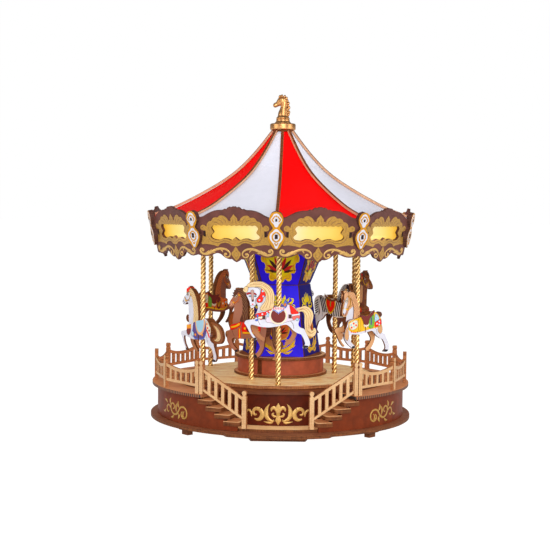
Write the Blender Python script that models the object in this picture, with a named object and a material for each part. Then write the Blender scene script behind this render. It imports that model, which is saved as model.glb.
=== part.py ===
# Table-top carousel of painted plywood sheets, with nine horses on twisted gold poles.
# Sizes are in millimetres and meshes are made in metres. The origin is on the axis, at floor level.
# Angles are in degrees about +Z, from the front (-Y), positive towards +X.

import math

import bmesh
import bpy
from mathutils import Matrix, Vector

MM = 0.001
GAP = 0.3
SHEET = 3.0
SEGMENTS = 48
HOLE_SIDES = 10
POLE_SIDES = 12

# Heights above the floor
PLATE_BOTTOM = 7.0
PLATE_TOP = 10.0
LANDING_TOP = 12.8
DECK_BOTTOM = 38.8
DECK_TOP = 41.5
TRACK_TOP = 44.7
TURNTABLE_BOTTOM = 45.3
TURNTABLE_TOP = 48.3
PEDESTAL_FOOT_TOP = 51.1
PEDESTAL_WALL_TOP = 65.1
PEDESTAL_TOP = 68.2
COLUMN_WAIST = 138.0
COLUMN_TOP = 175.7
CEILING_BOTTOM = 176.0
CEILING_TOP = 179.0
ROOF_TOP = 288.6
CAP_BOTTOM = 290.5
CAP_TOP = 297.0

# Radii from the axis
PLATE_RADIUS = 129.5
PLATE_FRONT_RADIUS = 135.0
DRUM_RADIUS = 122.6
DRUM_THICKNESS = 2.0
LANDING_RADIUS = 120.2
RECESS_INNER = 99.0
RECESS_OUTER = 101.0
DECK_INNER = 97.0
DECK_OUTER = 128.0
TRACK_INNER = 89.2
TRACK_OUTER = 103.9
TURNTABLE_RADIUS = 91.0
PEDESTAL_FOOT_RADIUS = 46.5
PEDESTAL_WALL_RADIUS = 43.0
PEDESTAL_RIM_RADIUS = 45.3
CAP_RADIUS = 12.9

# Angles of the small feet
ROUND_FEET = {
    "foot_front_right": 46.5,
    "foot_front_left": -46.5,
    "foot_back_right": 138,
    "foot_back_left": -138,
}

# Stairs
TREAD_RISE = 5.8
TREAD_THICKNESS = 3.6
TREAD_SPAN = 7.4
TREAD_STEP = 4.4
TREAD_START = 16.2
TREAD_COUNT = 4
TREAD_OUTER = 124.5
DECK_END = 33.8
RECESS_END = 36.0

# Railings
POST_ANGLE = 36.8
POST_RADIUS = 124.0
POST_TOP = 72.4
HEAD_POST_ANGLE = 34.6
FRONT_POST_ANGLE = 14.5
FRONT_POST_RADIUS = 121.0
FRONT_POST_TOP = 47.7
RAIL_SHEET = 2.4
BAYS_A_SIDE = 6
BALUSTERS = 5

# Rotor
REST_TURN = -1.2
SIDES = 10
FASCIA_LOW = (168.0, 124.5)
FASCIA_HIGH = (209.0, 133.0)
FASCIA_SHEET = 2.6
WINDOW_HALF = 22.5
WINDOW_LOW = 183.8
WINDOW_HIGH = 197.2
COLUMN_SIDES = 5
COLUMN_RADII = (41.1, 30.1, 46.4)
COLUMN_WALL = 2.0

# Poles and horses
POLE_RADIUS = 2.5
POLE_HOLE = 2.9
POLE_LENGTH = 152.0
OUTER_RING = 86.0
INNER_RING = 54.0
POLE_TURN = 0.7
GALLOP = 16.0
MIDDLE_LEVEL = 103.0
POLE_FOOT = TURNTABLE_BOTTOM - 1.3
TRUNK_THICKNESS = 9.2
LEG_SHEET = 3.2
LEG_INSET = 0.25


def polar(radius, degrees):
    angle = math.radians(degrees)
    return (radius * math.sin(angle), -radius * math.cos(angle))


def arc(radius, start, end, step=7.5):
    """Points on a circle about the axis, from angle start to angle end."""
    count = max(2, math.ceil(abs(end - start) / step) + 1)
    return [polar(radius, start + (end - start) * i / (count - 1)) for i in range(count)]


def mirrored(points):
    """The points, then the same ones across the vertical axis in reverse, without doubling the middle."""
    back = [(-u, v) for u, v in reversed(points) if abs(u) > 1e-6]
    return points + back


def cleaned(mesh):
    work = bmesh.new()
    work.from_mesh(mesh)
    bmesh.ops.remove_doubles(work, verts=work.verts, dist=0.0005)
    bmesh.ops.recalc_face_normals(work, faces=work.faces)
    work.to_mesh(mesh)
    work.free()
    return mesh


def sheet(loops, low, high):
    """A flat sheet between two heights: the first loop is its edge, and any others are holes in it."""
    curve = bpy.data.curves.new("outline", "CURVE")
    curve.dimensions = "2D"
    curve.fill_mode = "BOTH"
    curve.extrude = (high - low) / 2
    for loop in loops:
        spline = curve.splines.new("POLY")
        spline.points.add(len(loop) - 1)
        for point, (u, v) in zip(spline.points, loop):
            point.co = (u, v, 0.0, 1.0)
        spline.use_cyclic_u = True
    holder = bpy.data.objects.new("outline", curve)
    mesh = bpy.data.meshes.new_from_object(holder)
    bpy.data.objects.remove(holder)
    bpy.data.curves.remove(curve)
    mesh.transform(Matrix.Translation((0, 0, (low + high) / 2)))
    return cleaned(mesh)


def turned(profile, segments=SEGMENTS):
    """A closed loop of (radius, height) points turned about Z. A point at radius 0 lies on the axis."""
    work = bmesh.new()
    rings = []
    for index in range(segments):
        angle = 2 * math.pi * index / segments
        turn = (math.cos(angle), math.sin(angle))
        rings.append([work.verts.new((r * turn[0], r * turn[1], z)) for r, z in profile])
    for index in range(segments):
        here = rings[index]
        there = rings[(index + 1) % segments]
        for point in range(len(profile)):
            after = (point + 1) % len(profile)
            if profile[point][0] > 0 or profile[after][0] > 0:
                work.faces.new((here[point], there[point], there[after], here[after]))
    bmesh.ops.remove_doubles(work, verts=work.verts, dist=0.0005)
    bmesh.ops.recalc_face_normals(work, faces=work.faces)
    mesh = bpy.data.meshes.new("turned")
    work.to_mesh(mesh)
    work.free()
    return mesh


def loft(rings):
    """A closed band through rings of points, the last joined to the first."""
    work = bmesh.new()
    verts = [[work.verts.new(point) for point in ring] for ring in rings]
    for index, ring in enumerate(verts):
        after = verts[(index + 1) % len(verts)]
        for point in range(len(ring)):
            beside = (point + 1) % len(ring)
            work.faces.new((ring[point], ring[beside], after[beside], after[point]))
    bmesh.ops.recalc_face_normals(work, faces=work.faces)
    mesh = bpy.data.meshes.new("loft")
    work.to_mesh(mesh)
    work.free()
    return mesh


def together(meshes):
    work = bmesh.new()
    for mesh in meshes:
        work.from_mesh(mesh)
    joined = bpy.data.meshes.new("joined")
    work.to_mesh(joined)
    work.free()
    return joined


def combined(base, others, operation):
    """One mesh from a base and other meshes, by an exact Boolean."""
    holder = bpy.data.objects.new("base", base)
    tool = bpy.data.objects.new("tool", together(others))
    for each in (holder, tool):
        bpy.context.scene.collection.objects.link(each)
    boolean = holder.modifiers.new("combine", "BOOLEAN")
    boolean.operation = operation
    boolean.solver = "EXACT"
    boolean.use_self = len(others) > 1
    boolean.object = tool
    graph = bpy.context.evaluated_depsgraph_get()
    result = bpy.data.meshes.new_from_object(holder.evaluated_get(graph))
    for each in (holder, tool):
        bpy.data.objects.remove(each)
    return cleaned(result)


def moved(mesh, matrix):
    mesh.transform(matrix)
    return mesh


def upright(mesh, centre_x, centre_y, turn, base=0.0):
    """Stands a sheet drawn in X and Y on its lower edge, its face turned by an angle about Z."""
    stand = Matrix.Rotation(math.radians(90), 4, "X")
    spin = Matrix.Rotation(math.radians(turn), 4, "Z")
    return moved(mesh, Matrix.Translation((centre_x, centre_y, base)) @ spin @ stand)


def material(name, colour, roughness, metallic=0.0):
    made = bpy.data.materials.new(name)
    made.use_nodes = True
    shader = made.node_tree.nodes["Principled BSDF"]
    shader.inputs["Base Color"].default_value = (*colour, 1.0)
    shader.inputs["Roughness"].default_value = roughness
    shader.inputs["Metallic"].default_value = metallic
    return made


BROWN = ((0.17, 0.045, 0.03), 0.5)
DARK = ((0.1, 0.035, 0.03), 0.5)
BIRCH = ((0.72, 0.48, 0.26), 0.55)
TAN = ((0.55, 0.27, 0.12), 0.55)
BLUE = ((0.03, 0.02, 0.55), 0.4)
GOLD = ((0.8, 0.52, 0.2), 0.3, 1.0)
WARM_WHITE = ((1.0, 0.78, 0.35), 0.4)
RED = ((0.8, 0.01, 0.01), 0.35)


def piece(name, mesh, look, parent=None, smooth=None):
    """The named object of a mesh in millimetres, with its own material."""
    mesh.transform(Matrix.Scale(MM, 4))
    mesh.name = name
    mesh.materials.clear()
    mesh.materials.append(material(name, *look))
    made = bpy.data.objects.new(name, mesh)
    bpy.context.scene.collection.objects.link(made)
    if parent:
        made.parent = parent
    if smooth:
        mesh.shade_smooth()
        mesh.set_sharp_from_angle(angle=math.radians(smooth))
    return made


def joint_empty(name, parent=None):
    made = bpy.data.objects.new(name, None)
    made.empty_display_size = 0.03
    bpy.context.scene.collection.objects.link(made)
    made.parent = parent
    return made


# Base


def base_outline():
    """The round base plate's edge, with its wider front and the curved shoulders beside it."""
    shoulder = [polar(PLATE_FRONT_RADIUS - 0.5, 20.2), polar(132.6, 21.2), polar(130.4, 22.0)]
    right = arc(PLATE_FRONT_RADIUS, 0, 19.2, 4.8) + shoulder
    around = arc(PLATE_RADIUS, 24, 336, 6)
    left = [(-x, y) for x, y in reversed(right[1:])]
    return right + around + left


def front_foot():
    outline = [(-27, -100), (-25, -109), (25, -109), (27, -100), (20, -92), (-20, -92)]
    return sheet([outline], 0, PLATE_BOTTOM - GAP)


def round_foot(degrees):
    """A small foot, narrow where it meets the floor and wider under the plate."""
    lower = sheet([[(-4.4, -3), (4.4, -3), (4.4, 3), (-4.4, 3)]], 0, 4.2)
    upper = sheet([[(-8.5, -3.5), (8.5, -3.5), (8.5, 3.5), (-8.5, 3.5)]], 4.0, PLATE_BOTTOM - GAP)
    foot = combined(lower, [upper], "UNION")
    x, y = polar(118, degrees)
    place = Matrix.Translation((x, y, 0)) @ Matrix.Rotation(math.radians(degrees), 4, "Z")
    return moved(foot, place)


def tread_top(index):
    return LANDING_TOP + TREAD_RISE * (index + 1)


def drum_wall():
    """The outer wall in one bent sheet, its top edge stepped down under each flight."""
    start = TREAD_START + 1.3
    bands = []
    low = PLATE_TOP + GAP
    for index in range(TREAD_COUNT):
        end = TREAD_START + TREAD_SPAN + index * TREAD_STEP
        bands.append((start, end, tread_top(index) - TREAD_THICKNESS - GAP))
        start = end
    bands.append((start, 180.0, DECK_BOTTOM - GAP))
    inner = DRUM_RADIUS - DRUM_THICKNESS
    solids = []
    for side in (1, -1):
        for begin, end, high in bands:
            overlap = 0.15 if end < 180 else 0.3
            loop = arc(DRUM_RADIUS, side * begin, side * (end + overlap))
            loop += arc(inner, side * (end + overlap), side * begin)
            solids.append(sheet([loop], low, high))
    return combined(solids[0], solids[1:], "UNION")


def landing():
    """The lowest level, from the recess to a front edge that follows the plate."""
    front = arc(LANDING_RADIUS, -17.2, 17.2)
    back = arc(RECESS_OUTER + GAP, 21, -21)
    loop = front + [polar(LANDING_RADIUS - 4, 19.8)] + back + [polar(LANDING_RADIUS - 4, -19.8)]
    return sheet([loop], PLATE_TOP + GAP, LANDING_TOP)


def tread(side, index):
    begin = TREAD_START + index * TREAD_STEP
    end = begin + TREAD_SPAN
    inner = RECESS_OUTER + GAP
    loop = arc(TREAD_OUTER, side * (begin + 0.8), side * end, 3)
    loop += arc(inner, side * end, side * begin, 3)
    loop.append(polar(TREAD_OUTER - 1.6, side * begin))
    top = tread_top(index)
    return sheet([loop], top - TREAD_THICKNESS, top)


def recess_wall():
    loop = arc(RECESS_OUTER, -RECESS_END, RECESS_END) + arc(RECESS_INNER, RECESS_END, -RECESS_END)
    return sheet([loop], PLATE_TOP + GAP, DECK_TOP)


def deck():
    notch = RECESS_END + 0.8
    loop = arc(DECK_OUTER, DECK_END + 0.7, 360 - DECK_END - 0.7)
    loop.append(polar(DECK_OUTER - 2, -DECK_END))
    loop += arc(RECESS_OUTER + GAP, -DECK_END, -notch, 1.5)
    loop += arc(DECK_INNER, 360 - notch, notch)
    loop += arc(RECESS_OUTER + GAP, notch, DECK_END, 1.5)
    loop.append(polar(DECK_OUTER - 2, DECK_END))
    return sheet([loop], DECK_BOTTOM, DECK_TOP)


def ring(inner, outer, low, high, segments=SEGMENTS):
    return turned([(inner, low), (outer, low), (outer, high), (inner, high)], segments)


# Railings


def rail_bay(length, end_top, dip, low_rail, height_step=0.0):
    """One flat railing bay drawn in X and Y: a top rail that dips, a low rail and balusters between."""
    half = length / 2
    rail = 3.0
    steps = 4
    slope = height_step / length

    def top(x, drop=0.0):
        return end_top - drop - dip * (1 - (x / half) ** 2) + slope * x

    def low(x, rise=0.0):
        return low_rail + rise + slope * x

    along = [-half + length * i / steps for i in range(steps + 1)]
    edge = [(x, top(x)) for x in reversed(along)] + [(x, low(x)) for x in along[::steps]]
    holes = []
    baluster = 3.2
    margin = 2.6
    opening = (length - 2 * margin - BALUSTERS * baluster) / (BALUSTERS + 1)
    for index in range(BALUSTERS + 1):
        left = -half + margin + index * (opening + baluster)
        right = left + opening
        lower = [(left, low(left, 2.6)), (right, low(right, 2.6))]
        upper = [(right, top(right, rail)), (left, top(left, rail))]
        holes.append(lower + upper)
    return [edge] + holes


def post(top, base, width=4.2):
    """A flat post outline with a neck and a round knob."""
    half = width / 2
    knob = 2.1
    centre = top - knob
    points = [(0.0, top)]
    for degrees in (55, 110):
        angle = math.radians(degrees)
        points.append((knob * math.sin(angle), centre + knob * math.cos(angle)))
    points += [(1.2, centre - knob), (half, centre - knob - 1.6), (half, base)]
    return mirrored(points)


def stood(loops, thickness, start, end):
    """A flat outline stood up along the line between two plan points."""
    turn = math.degrees(math.atan2(end[1] - start[1], end[0] - start[0]))
    centre = ((start[0] + end[0]) / 2, (start[1] + end[1]) / 2)
    return upright(sheet(loops, -thickness / 2, thickness / 2), centre[0], centre[1], turn)


def stood_post(top, base, radius, degrees):
    x, y = polar(radius, degrees)
    return upright(sheet([post(top, base)], -1.8, 1.8), x, y, degrees)


def post_angles():
    step = (180 - POST_ANGLE) / BAYS_A_SIDE
    return [POST_ANGLE + step * i for i in range(2 * BAYS_A_SIDE + 1)]


def deck_railing():
    base = DECK_TOP + GAP
    angles = post_angles()
    solids = [stood_post(POST_TOP, base, POST_RADIUS, angle) for angle in angles]
    for here, after in zip(angles, angles[1:]):
        start = polar(POST_RADIUS, here)
        end = polar(POST_RADIUS, after)
        loops = rail_bay(math.dist(start, end), 65.5, 4.0, 48.0)
        solids.append(stood(loops, RAIL_SHEET, start, end))
    return combined(solids[0], solids[1:], "UNION")


def stair_railing(side):
    """The sloping railing from the post on the landing to the one at the deck's end."""
    low_post = polar(FRONT_POST_RADIUS, side * FRONT_POST_ANGLE)
    high_post = polar(POST_RADIUS - 0.2, side * HEAD_POST_ANGLE)
    start, end = (low_post, high_post) if side > 0 else (high_post, low_post)
    loops = rail_bay(math.dist(start, end), 53.5, 0.0, 32.8, side * 25.2)
    rail = stood(loops, RAIL_SHEET, start, end)
    foot = stood_post(FRONT_POST_TOP, LANDING_TOP + GAP, FRONT_POST_RADIUS, side * FRONT_POST_ANGLE)
    head = stood_post(POST_TOP, DECK_TOP + GAP, POST_RADIUS - 0.2, side * HEAD_POST_ANGLE)
    return combined(foot, [rail, head], "UNION")


# Rotor


def pole_places():
    """Ring and angle of each pole, the outer ring of six first."""
    outer = [(OUTER_RING, POLE_TURN + 60.0 * i) for i in range(6)]
    inner = [(INNER_RING, POLE_TURN - 30.0 + 120.0 * i) for i in range(3)]
    return outer + inner


def drilled(mesh, low, high):
    """The mesh with a round hole at each pole."""
    holes = []
    for radius, degrees in pole_places():
        x, y = polar(radius, degrees)
        rod = disc(POLE_HOLE, low, high, HOLE_SIDES)
        holes.append(moved(rod, Matrix.Translation((x, y, 0))))
    return combined(mesh, holes, "DIFFERENCE")


def disc(radius, low, high, segments=SEGMENTS):
    return turned([(0, low), (radius, low), (radius, high), (0, high)], segments)


def pedestal_wall():
    """The round wall under the column, open at one seam."""
    seam = -26.0
    half = 3.2
    loop = arc(PEDESTAL_WALL_RADIUS, seam + half, seam - half + 360)
    loop += arc(PEDESTAL_WALL_RADIUS - SHEET, seam - half + 360, seam + half)
    return sheet([loop], PEDESTAL_FOOT_TOP + GAP, PEDESTAL_WALL_TOP)


def pentagon(radius, height):
    """Corners of the column at a height, with one flat face to the front."""
    corner = 360 / COLUMN_SIDES
    return [(*polar(radius, corner * (i + 0.5)), height) for i in range(COLUMN_SIDES)]


def column_part(radius_low, radius_high, low, high):
    wall = COLUMN_WALL / math.cos(math.pi / COLUMN_SIDES)
    rings = [
        pentagon(radius_low, low),
        pentagon(radius_high, high),
        pentagon(radius_high - wall, high),
        pentagon(radius_low - wall, low),
    ]
    return loft(rings)


def fascia_radius(height):
    """Distance from the axis to a corner of the fascia's outer face."""
    (low, low_radius), (high, high_radius) = FASCIA_LOW, FASCIA_HIGH
    return low_radius + (high_radius - low_radius) * (height - low) / (high - low)


def fascia_lean():
    flat = math.cos(math.pi / SIDES)
    rise = FASCIA_HIGH[0] - FASCIA_LOW[0]
    return math.atan((FASCIA_HIGH[1] - FASCIA_LOW[1]) * flat / rise)


def fascia_half_width(height):
    return fascia_radius(height) * math.sin(math.pi / SIDES)


def fascia_columns():
    """Upright lines across one panel as (across, bottom, top), from its left corner."""
    middle = [(0, 163.6, 213.6), (4.5, 166.6, 212.9), (8, 166.5, 211.0), (14.5, 171.0, 210.7)]
    middle += [(WINDOW_HALF, 171.4, 208.7), (30, 168.4, 205.6)]
    left = [(-u, low, high) for u, low, high in reversed(middle[1:])]
    corner = fascia_half_width(168.5)
    return [(-corner, 168.5, 203.7)] + left + middle


def fascia_band():
    """All ten panels in one band: a crested top, a pendant below and a window in each."""
    flat = math.cos(math.pi / SIDES)
    work = bmesh.new()
    columns = []
    for panel in range(SIDES):
        turn = Matrix.Rotation(math.radians(360 / SIDES * (panel + 0.5)), 4, "Z")
        for index, (across, bottom, top) in enumerate(fascia_columns()):
            outer = []
            inner = []
            for height in (bottom, WINDOW_LOW, WINDOW_HIGH, top):
                u = -fascia_half_width(height) if index == 0 else across
                reach = fascia_radius(height) * flat
                shrink = 1 - FASCIA_SHEET / reach
                outer.append(work.verts.new(turn @ Vector((u, -reach, height))))
                inner.append(work.verts.new(turn @ Vector((u * shrink, -reach * shrink, height))))
            columns.append((outer, inner, -WINDOW_HALF <= across < WINDOW_HALF))
    for index, (outer, inner, is_open) in enumerate(columns):
        after_outer, after_inner, after_open = columns[(index + 1) % len(columns)]
        for row in range(3):
            if row == 1 and is_open:
                continue
            work.faces.new((outer[row], after_outer[row], after_outer[row + 1], outer[row + 1]))
            work.faces.new((inner[row], inner[row + 1], after_inner[row + 1], after_inner[row]))
        rows = (0, 1, 2, 3) if is_open else (0, 3)
        for row in rows:
            work.faces.new((outer[row], inner[row], after_inner[row], after_outer[row]))
        if is_open != after_open:
            work.faces.new((after_outer[1], after_outer[2], after_inner[2], after_inner[1]))
    bmesh.ops.recalc_face_normals(work, faces=work.faces)
    mesh = bpy.data.meshes.new("band")
    work.to_mesh(mesh)
    work.free()
    return mesh


def lean_matrix(degrees, outward=0.0):
    """Takes a sheet drawn in (across, height) to the fascia's leaning face at an angle."""
    flat = math.cos(math.pi / SIDES)
    low, low_radius = FASCIA_LOW
    shear = Matrix.Identity(4)
    shear[1][2] = -math.tan(fascia_lean())
    drop = Matrix.Translation((0, 0, -low))
    stand = Matrix.Rotation(math.radians(90), 4, "X")
    out = Matrix.Translation((0, -(low_radius * flat + outward), low))
    return Matrix.Rotation(math.radians(degrees), 4, "Z") @ out @ shear @ drop @ stand


def ornament(angle):
    """The two-lobed plate over a corner of the fascia."""
    half = [(0, 210.2), (4.2, 208.6), (6.3, 204), (5.4, 199.5), (3.2, 195.5)]
    half += [(6.2, 191.6), (7.5, 187), (5.6, 181.8), (2.2, 177.4), (0, 176.6)]
    corner = FASCIA_LOW[1] * (1 - math.cos(math.pi / SIDES))
    plate = sheet([mirrored(half)], -2.4, 2.2)
    return moved(plate, lean_matrix(angle, corner))


def fascia():
    ornaments = [ornament(360 / SIDES * index) for index in range(SIDES)]
    return combined(fascia_band(), ornaments, "UNION")


def decagon(radius, height=None):
    points = [polar(radius, 360 / SIDES * i) for i in range(SIDES)]
    if height is None:
        return points
    return [(x, y, height) for x, y in points]


def ceiling_plate():
    inside = fascia_radius(CEILING_BOTTOM) - FASCIA_SHEET / math.cos(math.pi / SIDES) - 1.0
    plate = sheet([decagon(inside), list(reversed(arc(24, 0, 345, 15)))], CEILING_BOTTOM, CEILING_TOP)
    return drilled(plate, CEILING_BOTTOM - 2, CEILING_TOP + 2)


def diffuser():
    """The thin lit band behind the fascia's windows."""
    inside = fascia_radius(CEILING_TOP) - FASCIA_SHEET / math.cos(math.pi / SIDES) - 2.2
    lean = (FASCIA_HIGH[1] - FASCIA_LOW[1]) / (FASCIA_HIGH[0] - FASCIA_LOW[0])
    low = CEILING_TOP + GAP
    high = 202.0
    top = inside + lean * (high - low)
    wall = 1.2
    outside = [decagon(inside, low), decagon(top, high)]
    return loft(outside + [decagon(top - wall, high), decagon(inside - wall, low)])


ROOF_PROFILE = [(9.6, 288.6), (22, 272.8), (33.5, 259.9), (45, 249.0), (58, 239.3), (74, 229.6)]
ROOF_PROFILE += [(90, 220.9), (108, 212.2), (129.0, 204.75)]
RIB_FOOT = (127.6, 205.25)


def offset_profile(points, distance):
    """The points moved square to the line through them, outwards and upwards."""
    result = []
    for index, (r, z) in enumerate(points):
        before = points[max(index - 1, 0)]
        after = points[min(index + 1, len(points) - 1)]
        run = (after[0] - before[0], after[1] - before[1])
        size = math.hypot(*run)
        result.append((r - run[1] / size * distance, z + run[0] / size * distance))
    return result


def roof_shell():
    """The concave ten-sided tent in one thin skin, open at its top and foot."""
    skin = 1.2
    outside = ROOF_PROFILE
    inside = offset_profile(ROOF_PROFILE, -skin)
    rings = [decagon(r, z) for r, z in outside] + [decagon(r, z) for r, z in reversed(inside)]
    return loft(rings)


def roof_ribs():
    """Ten curved ribs over the corners of the tent, joined by a ring under the cap."""
    spine = ROOF_PROFILE[:-1] + [RIB_FOOT]
    low = offset_profile(spine, GAP + 0.05)
    high = offset_profile(spine, 2.4)
    ring_low = ROOF_TOP + 0.4
    ring_high = CAP_BOTTOM - GAP
    outline = [(6.4, ring_low)] + low + list(reversed(high[1:]))
    outline += [(high[0][0], ring_high), (6.4, ring_high)]
    solids = [ring(5.0, 10.6, ring_low, ring_high, 30)]
    for index in range(SIDES):
        rib = sheet([outline], -1.4, 1.4)
        stand = Matrix.Rotation(math.radians(90), 4, "X")
        turn = Matrix.Rotation(math.radians(360 / SIDES * index - 90), 4, "Z")
        solids.append(moved(rib, turn @ stand))
    return combined(solids[0], solids[1:], "UNION")


def cap():
    edge = 0.8
    profile = [(0, CAP_BOTTOM), (CAP_RADIUS - edge, CAP_BOTTOM), (CAP_RADIUS, CAP_BOTTOM + edge)]
    profile += [(CAP_RADIUS, CAP_TOP - edge), (CAP_RADIUS - edge, CAP_TOP), (0, CAP_TOP)]
    return turned(profile)


def finial():
    """A horse's head and neck on a stepped foot."""
    foot_low = CAP_TOP + GAP
    foot = [(0, foot_low), (9.2, foot_low), (7.4, 299.0), (7.4, 300.2), (6.6, 300.8), (7.2, 301.8)]
    foot += [(7.2, 302.8), (6.4, 303.7), (0, 303.7)]
    nose = [(-10, 315.5), (-9.3, 313.9), (-6.9, 313.1), (-5, 315), (-2.3, 315), (-2.6, 312.5)]
    chest = [(-3.9, 309.9), (-5, 306.4), (-5.2, 303.0), (5.6, 303.0), (6.8, 307.2), (5.6, 309.6)]
    mane = [(7, 313.1), (5.8, 316.6), (4.4, 319.5), (3.6, 322.5), (2, 324.3), (-1, 324.0), (-2.3, 325.3)]
    brow = [(-4.6, 323.6), (-7.2, 319.2), (-9.4, 316.8)]
    head = upright(sheet([nose + chest + mane + brow], -3.2, 3.2), 0, 0, 0)
    return combined(turned(foot, 32), [head], "UNION")


# Horses, drawn in (forward, up) from the pole and the trunk's middle


TRUNK = [(18.2, 8.2), (21.7, 5.7), (22.5, 0.4), (21.5, -4.6), (7.6, -6.7), (-3.8, -4.2), (-12, -4.4)]
TRUNK += [(-18.8, -3.2), (-20, 0.4), (-19.5, 5.4), (-17.2, 11), (-12.7, 13.1), (-9.4, 14.2), (-5.9, 11.7)]
TRUNK += [(4.7, 11.7), (12.5, 9.2)]

FLOWING_TAIL = [(-16, 11.4), (-22.9, 12.8), (-27.8, 12.3), (-31, 9.5), (-32.4, 4), (-31.4, -1.7)]
FLOWING_TAIL += [(-29.4, -5.2), (-31.7, -7), (-33.8, -6.7), (-35.2, -9.5), (-33.8, -12.7), (-31.4, -14.6)]
FLOWING_TAIL += [(-27.8, -15.1), (-25.5, -12.3), (-24.7, -7.4), (-24.8, -1.7), (-23.9, 4), (-21.5, 7.2)]
FLOWING_TAIL += [(-16, 7.0)]

DOCKED_TAIL = [(-15.5, 11.2), (-18.4, 13.4), (-21.4, 12.8), (-22.4, 10.2), (-20.8, 8.2), (-15.5, 7.2)]

FACING_HEAD = [(16, 4), (2.5, 10), (3.7, 20.9), (5.1, 27.3), (7.6, 31.6), (11.1, 33.7), (16.1, 35.2)]
FACING_HEAD += [(21.7, 35.2), (26.7, 34), (30.2, 31.6), (32.3, 27.3), (29.2, 25.2), (28.8, 22)]
FACING_HEAD += [(26.7, 18.1), (24.9, 12.6), (20.9, 11.6), (19.2, 16.1), (19.0, 7)]

PROFILE_HEAD = [(19, 3), (6, 10), (7.5, 18), (9.5, 26), (14, 31.5), (19, 33.5), (22.2, 33), (23.6, 36.5)]
PROFILE_HEAD += [(25.6, 32), (28.5, 28.5), (32.5, 24), (34.6, 20.8), (33.8, 18.2), (30.6, 17.2), (27, 19.2)]
PROFILE_HEAD += [(23, 19), (21.5, 14)]

RAISED_HEAD = [(19, 3), (6, 10), (7, 18), (9, 26), (12, 33), (16.5, 38.5), (20, 40.2), (21.6, 42.2)]
RAISED_HEAD += [(23.4, 39.6), (26.5, 36.5), (31, 33.6), (34.6, 31), (35.2, 28.2), (33, 26.2), (29.6, 26.4)]
RAISED_HEAD += [(26, 27.6), (23.4, 26), (22.2, 20), (22.4, 12)]

BOWED_HEAD = [(19, 3), (5, 9), (5.5, 18), (6.5, 27), (8.5, 35), (11, 39.5), (14.5, 41.8), (17.6, 40.6)]
BOWED_HEAD += [(20.6, 37.4), (23.4, 32.4), (25.6, 28), (25.8, 25), (23.8, 23.6), (21.4, 24.6), (19.8, 27)]
BOWED_HEAD += [(18.6, 28.2), (19.6, 22), (20.6, 12)]

ARCHED_HEAD = [(19.5, -1), (12, 4), (7, 9), (8, 14), (9.5, 20), (12, 26), (15.5, 30.5), (19.5, 32.6)]
ARCHED_HEAD += [(22.5, 32), (25.2, 28.5), (26.8, 23), (28.2, 17), (28.8, 11.5), (27, 9), (24.6, 10)]
ARCHED_HEAD += [(23.2, 13.5), (21.8, 17), (20.6, 17.6), (20.2, 12), (21.2, 5)]

LOW_HEAD = [(18.6, 3), (7.4, 8.6), (10, 14), (13.5, 19), (17, 22.8), (20.2, 24.2), (21.8, 26.6), (23.8, 23.8)]
LOW_HEAD += [(27.2, 20.6), (31.2, 15.4), (33.2, 11.8), (32.2, 9.2), (29.4, 8.8), (26.4, 10.4), (23.6, 10)]
LOW_HEAD += [(21.2, 6.6)]

REACHING_FORE = [(18, 3), (28.1, 0.2), (31.3, -1.8), (30.6, -6.7), (27.4, -11.6), (22.4, -17.6)]
REACHING_FORE += [(20.4, -16.4), (24.6, -10.9), (26.7, -6.4), (25.6, -4.2), (14, -4)]

FOLDED_FORE = [(21, 2), (24.5, -5), (25.2, -10.5), (20.5, -16.5), (14.5, -20.5), (12.6, -18.6)]
FOLDED_FORE += [(17.4, -14.6), (20.2, -9.6), (16, -4)]

STRETCHED_HIND = [(-8, 0), (-10.8, -6.7), (-15.1, -10.2), (-20, -12.3), (-23.6, -15.9), (-24.6, -20)]
STRETCHED_HIND += [(-22.1, -25.2), (-26.4, -25.9), (-29.6, -21.9), (-27.1, -15.9), (-25.1, -10.2)]
STRETCHED_HIND += [(-20.7, -5), (-18, 2)]

TUCKED_HIND = [(-8, 0), (-9.6, -7.6), (-12.6, -12.8), (-11, -17.8), (-5.8, -22.2), (-8.2, -24.8)]
TUCKED_HIND += [(-13.8, -20.6), (-17, -14.6), (-17.4, -8.4), (-17.6, 0)]


def slid(outline, shift):
    return [(u + shift, v) for u, v in outline]


def horse(head, tail, near_legs, far_legs, shift):
    """One horse of stacked sheets, slid along its pole's hole, with its near legs on the outward side."""
    outer = TRUNK_THICKNESS / 2
    half = SHEET / 2
    solids = [sheet([slid(TRUNK, shift)], -outer, outer)]
    solids += [sheet([slid(outline, shift)], -half, half) for outline in (head, tail)]
    for outline in near_legs:
        solids.append(sheet([slid(outline, shift)], LEG_INSET - outer, LEG_SHEET - outer))
    for outline in far_legs:
        solids.append(sheet([slid(outline, shift)], outer - LEG_SHEET, outer - LEG_INSET))
    body = combined(solids[0], solids[1:], "UNION")
    rod = disc(POLE_HOLE, -40, 60, HOLE_SIDES)
    rod = moved(rod, Matrix.Rotation(math.radians(-90), 4, "X"))
    body = combined(body, [rod], "DIFFERENCE")
    return moved(body, Matrix.Rotation(math.radians(90), 4, "X"))


# Near legs and far legs
GAITS = {
    "reaching": ([REACHING_FORE, STRETCHED_HIND], [FOLDED_FORE, TUCKED_HIND]),
    "tucked": ([FOLDED_FORE, TUCKED_HIND], [REACHING_FORE, STRETCHED_HIND]),
    "pawing": ([FOLDED_FORE, STRETCHED_HIND], [REACHING_FORE, TUCKED_HIND]),
}

WHITE_COAT = (0.85, 0.85, 0.9)
BROWN_COAT = (0.25, 0.12, 0.07)

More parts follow.
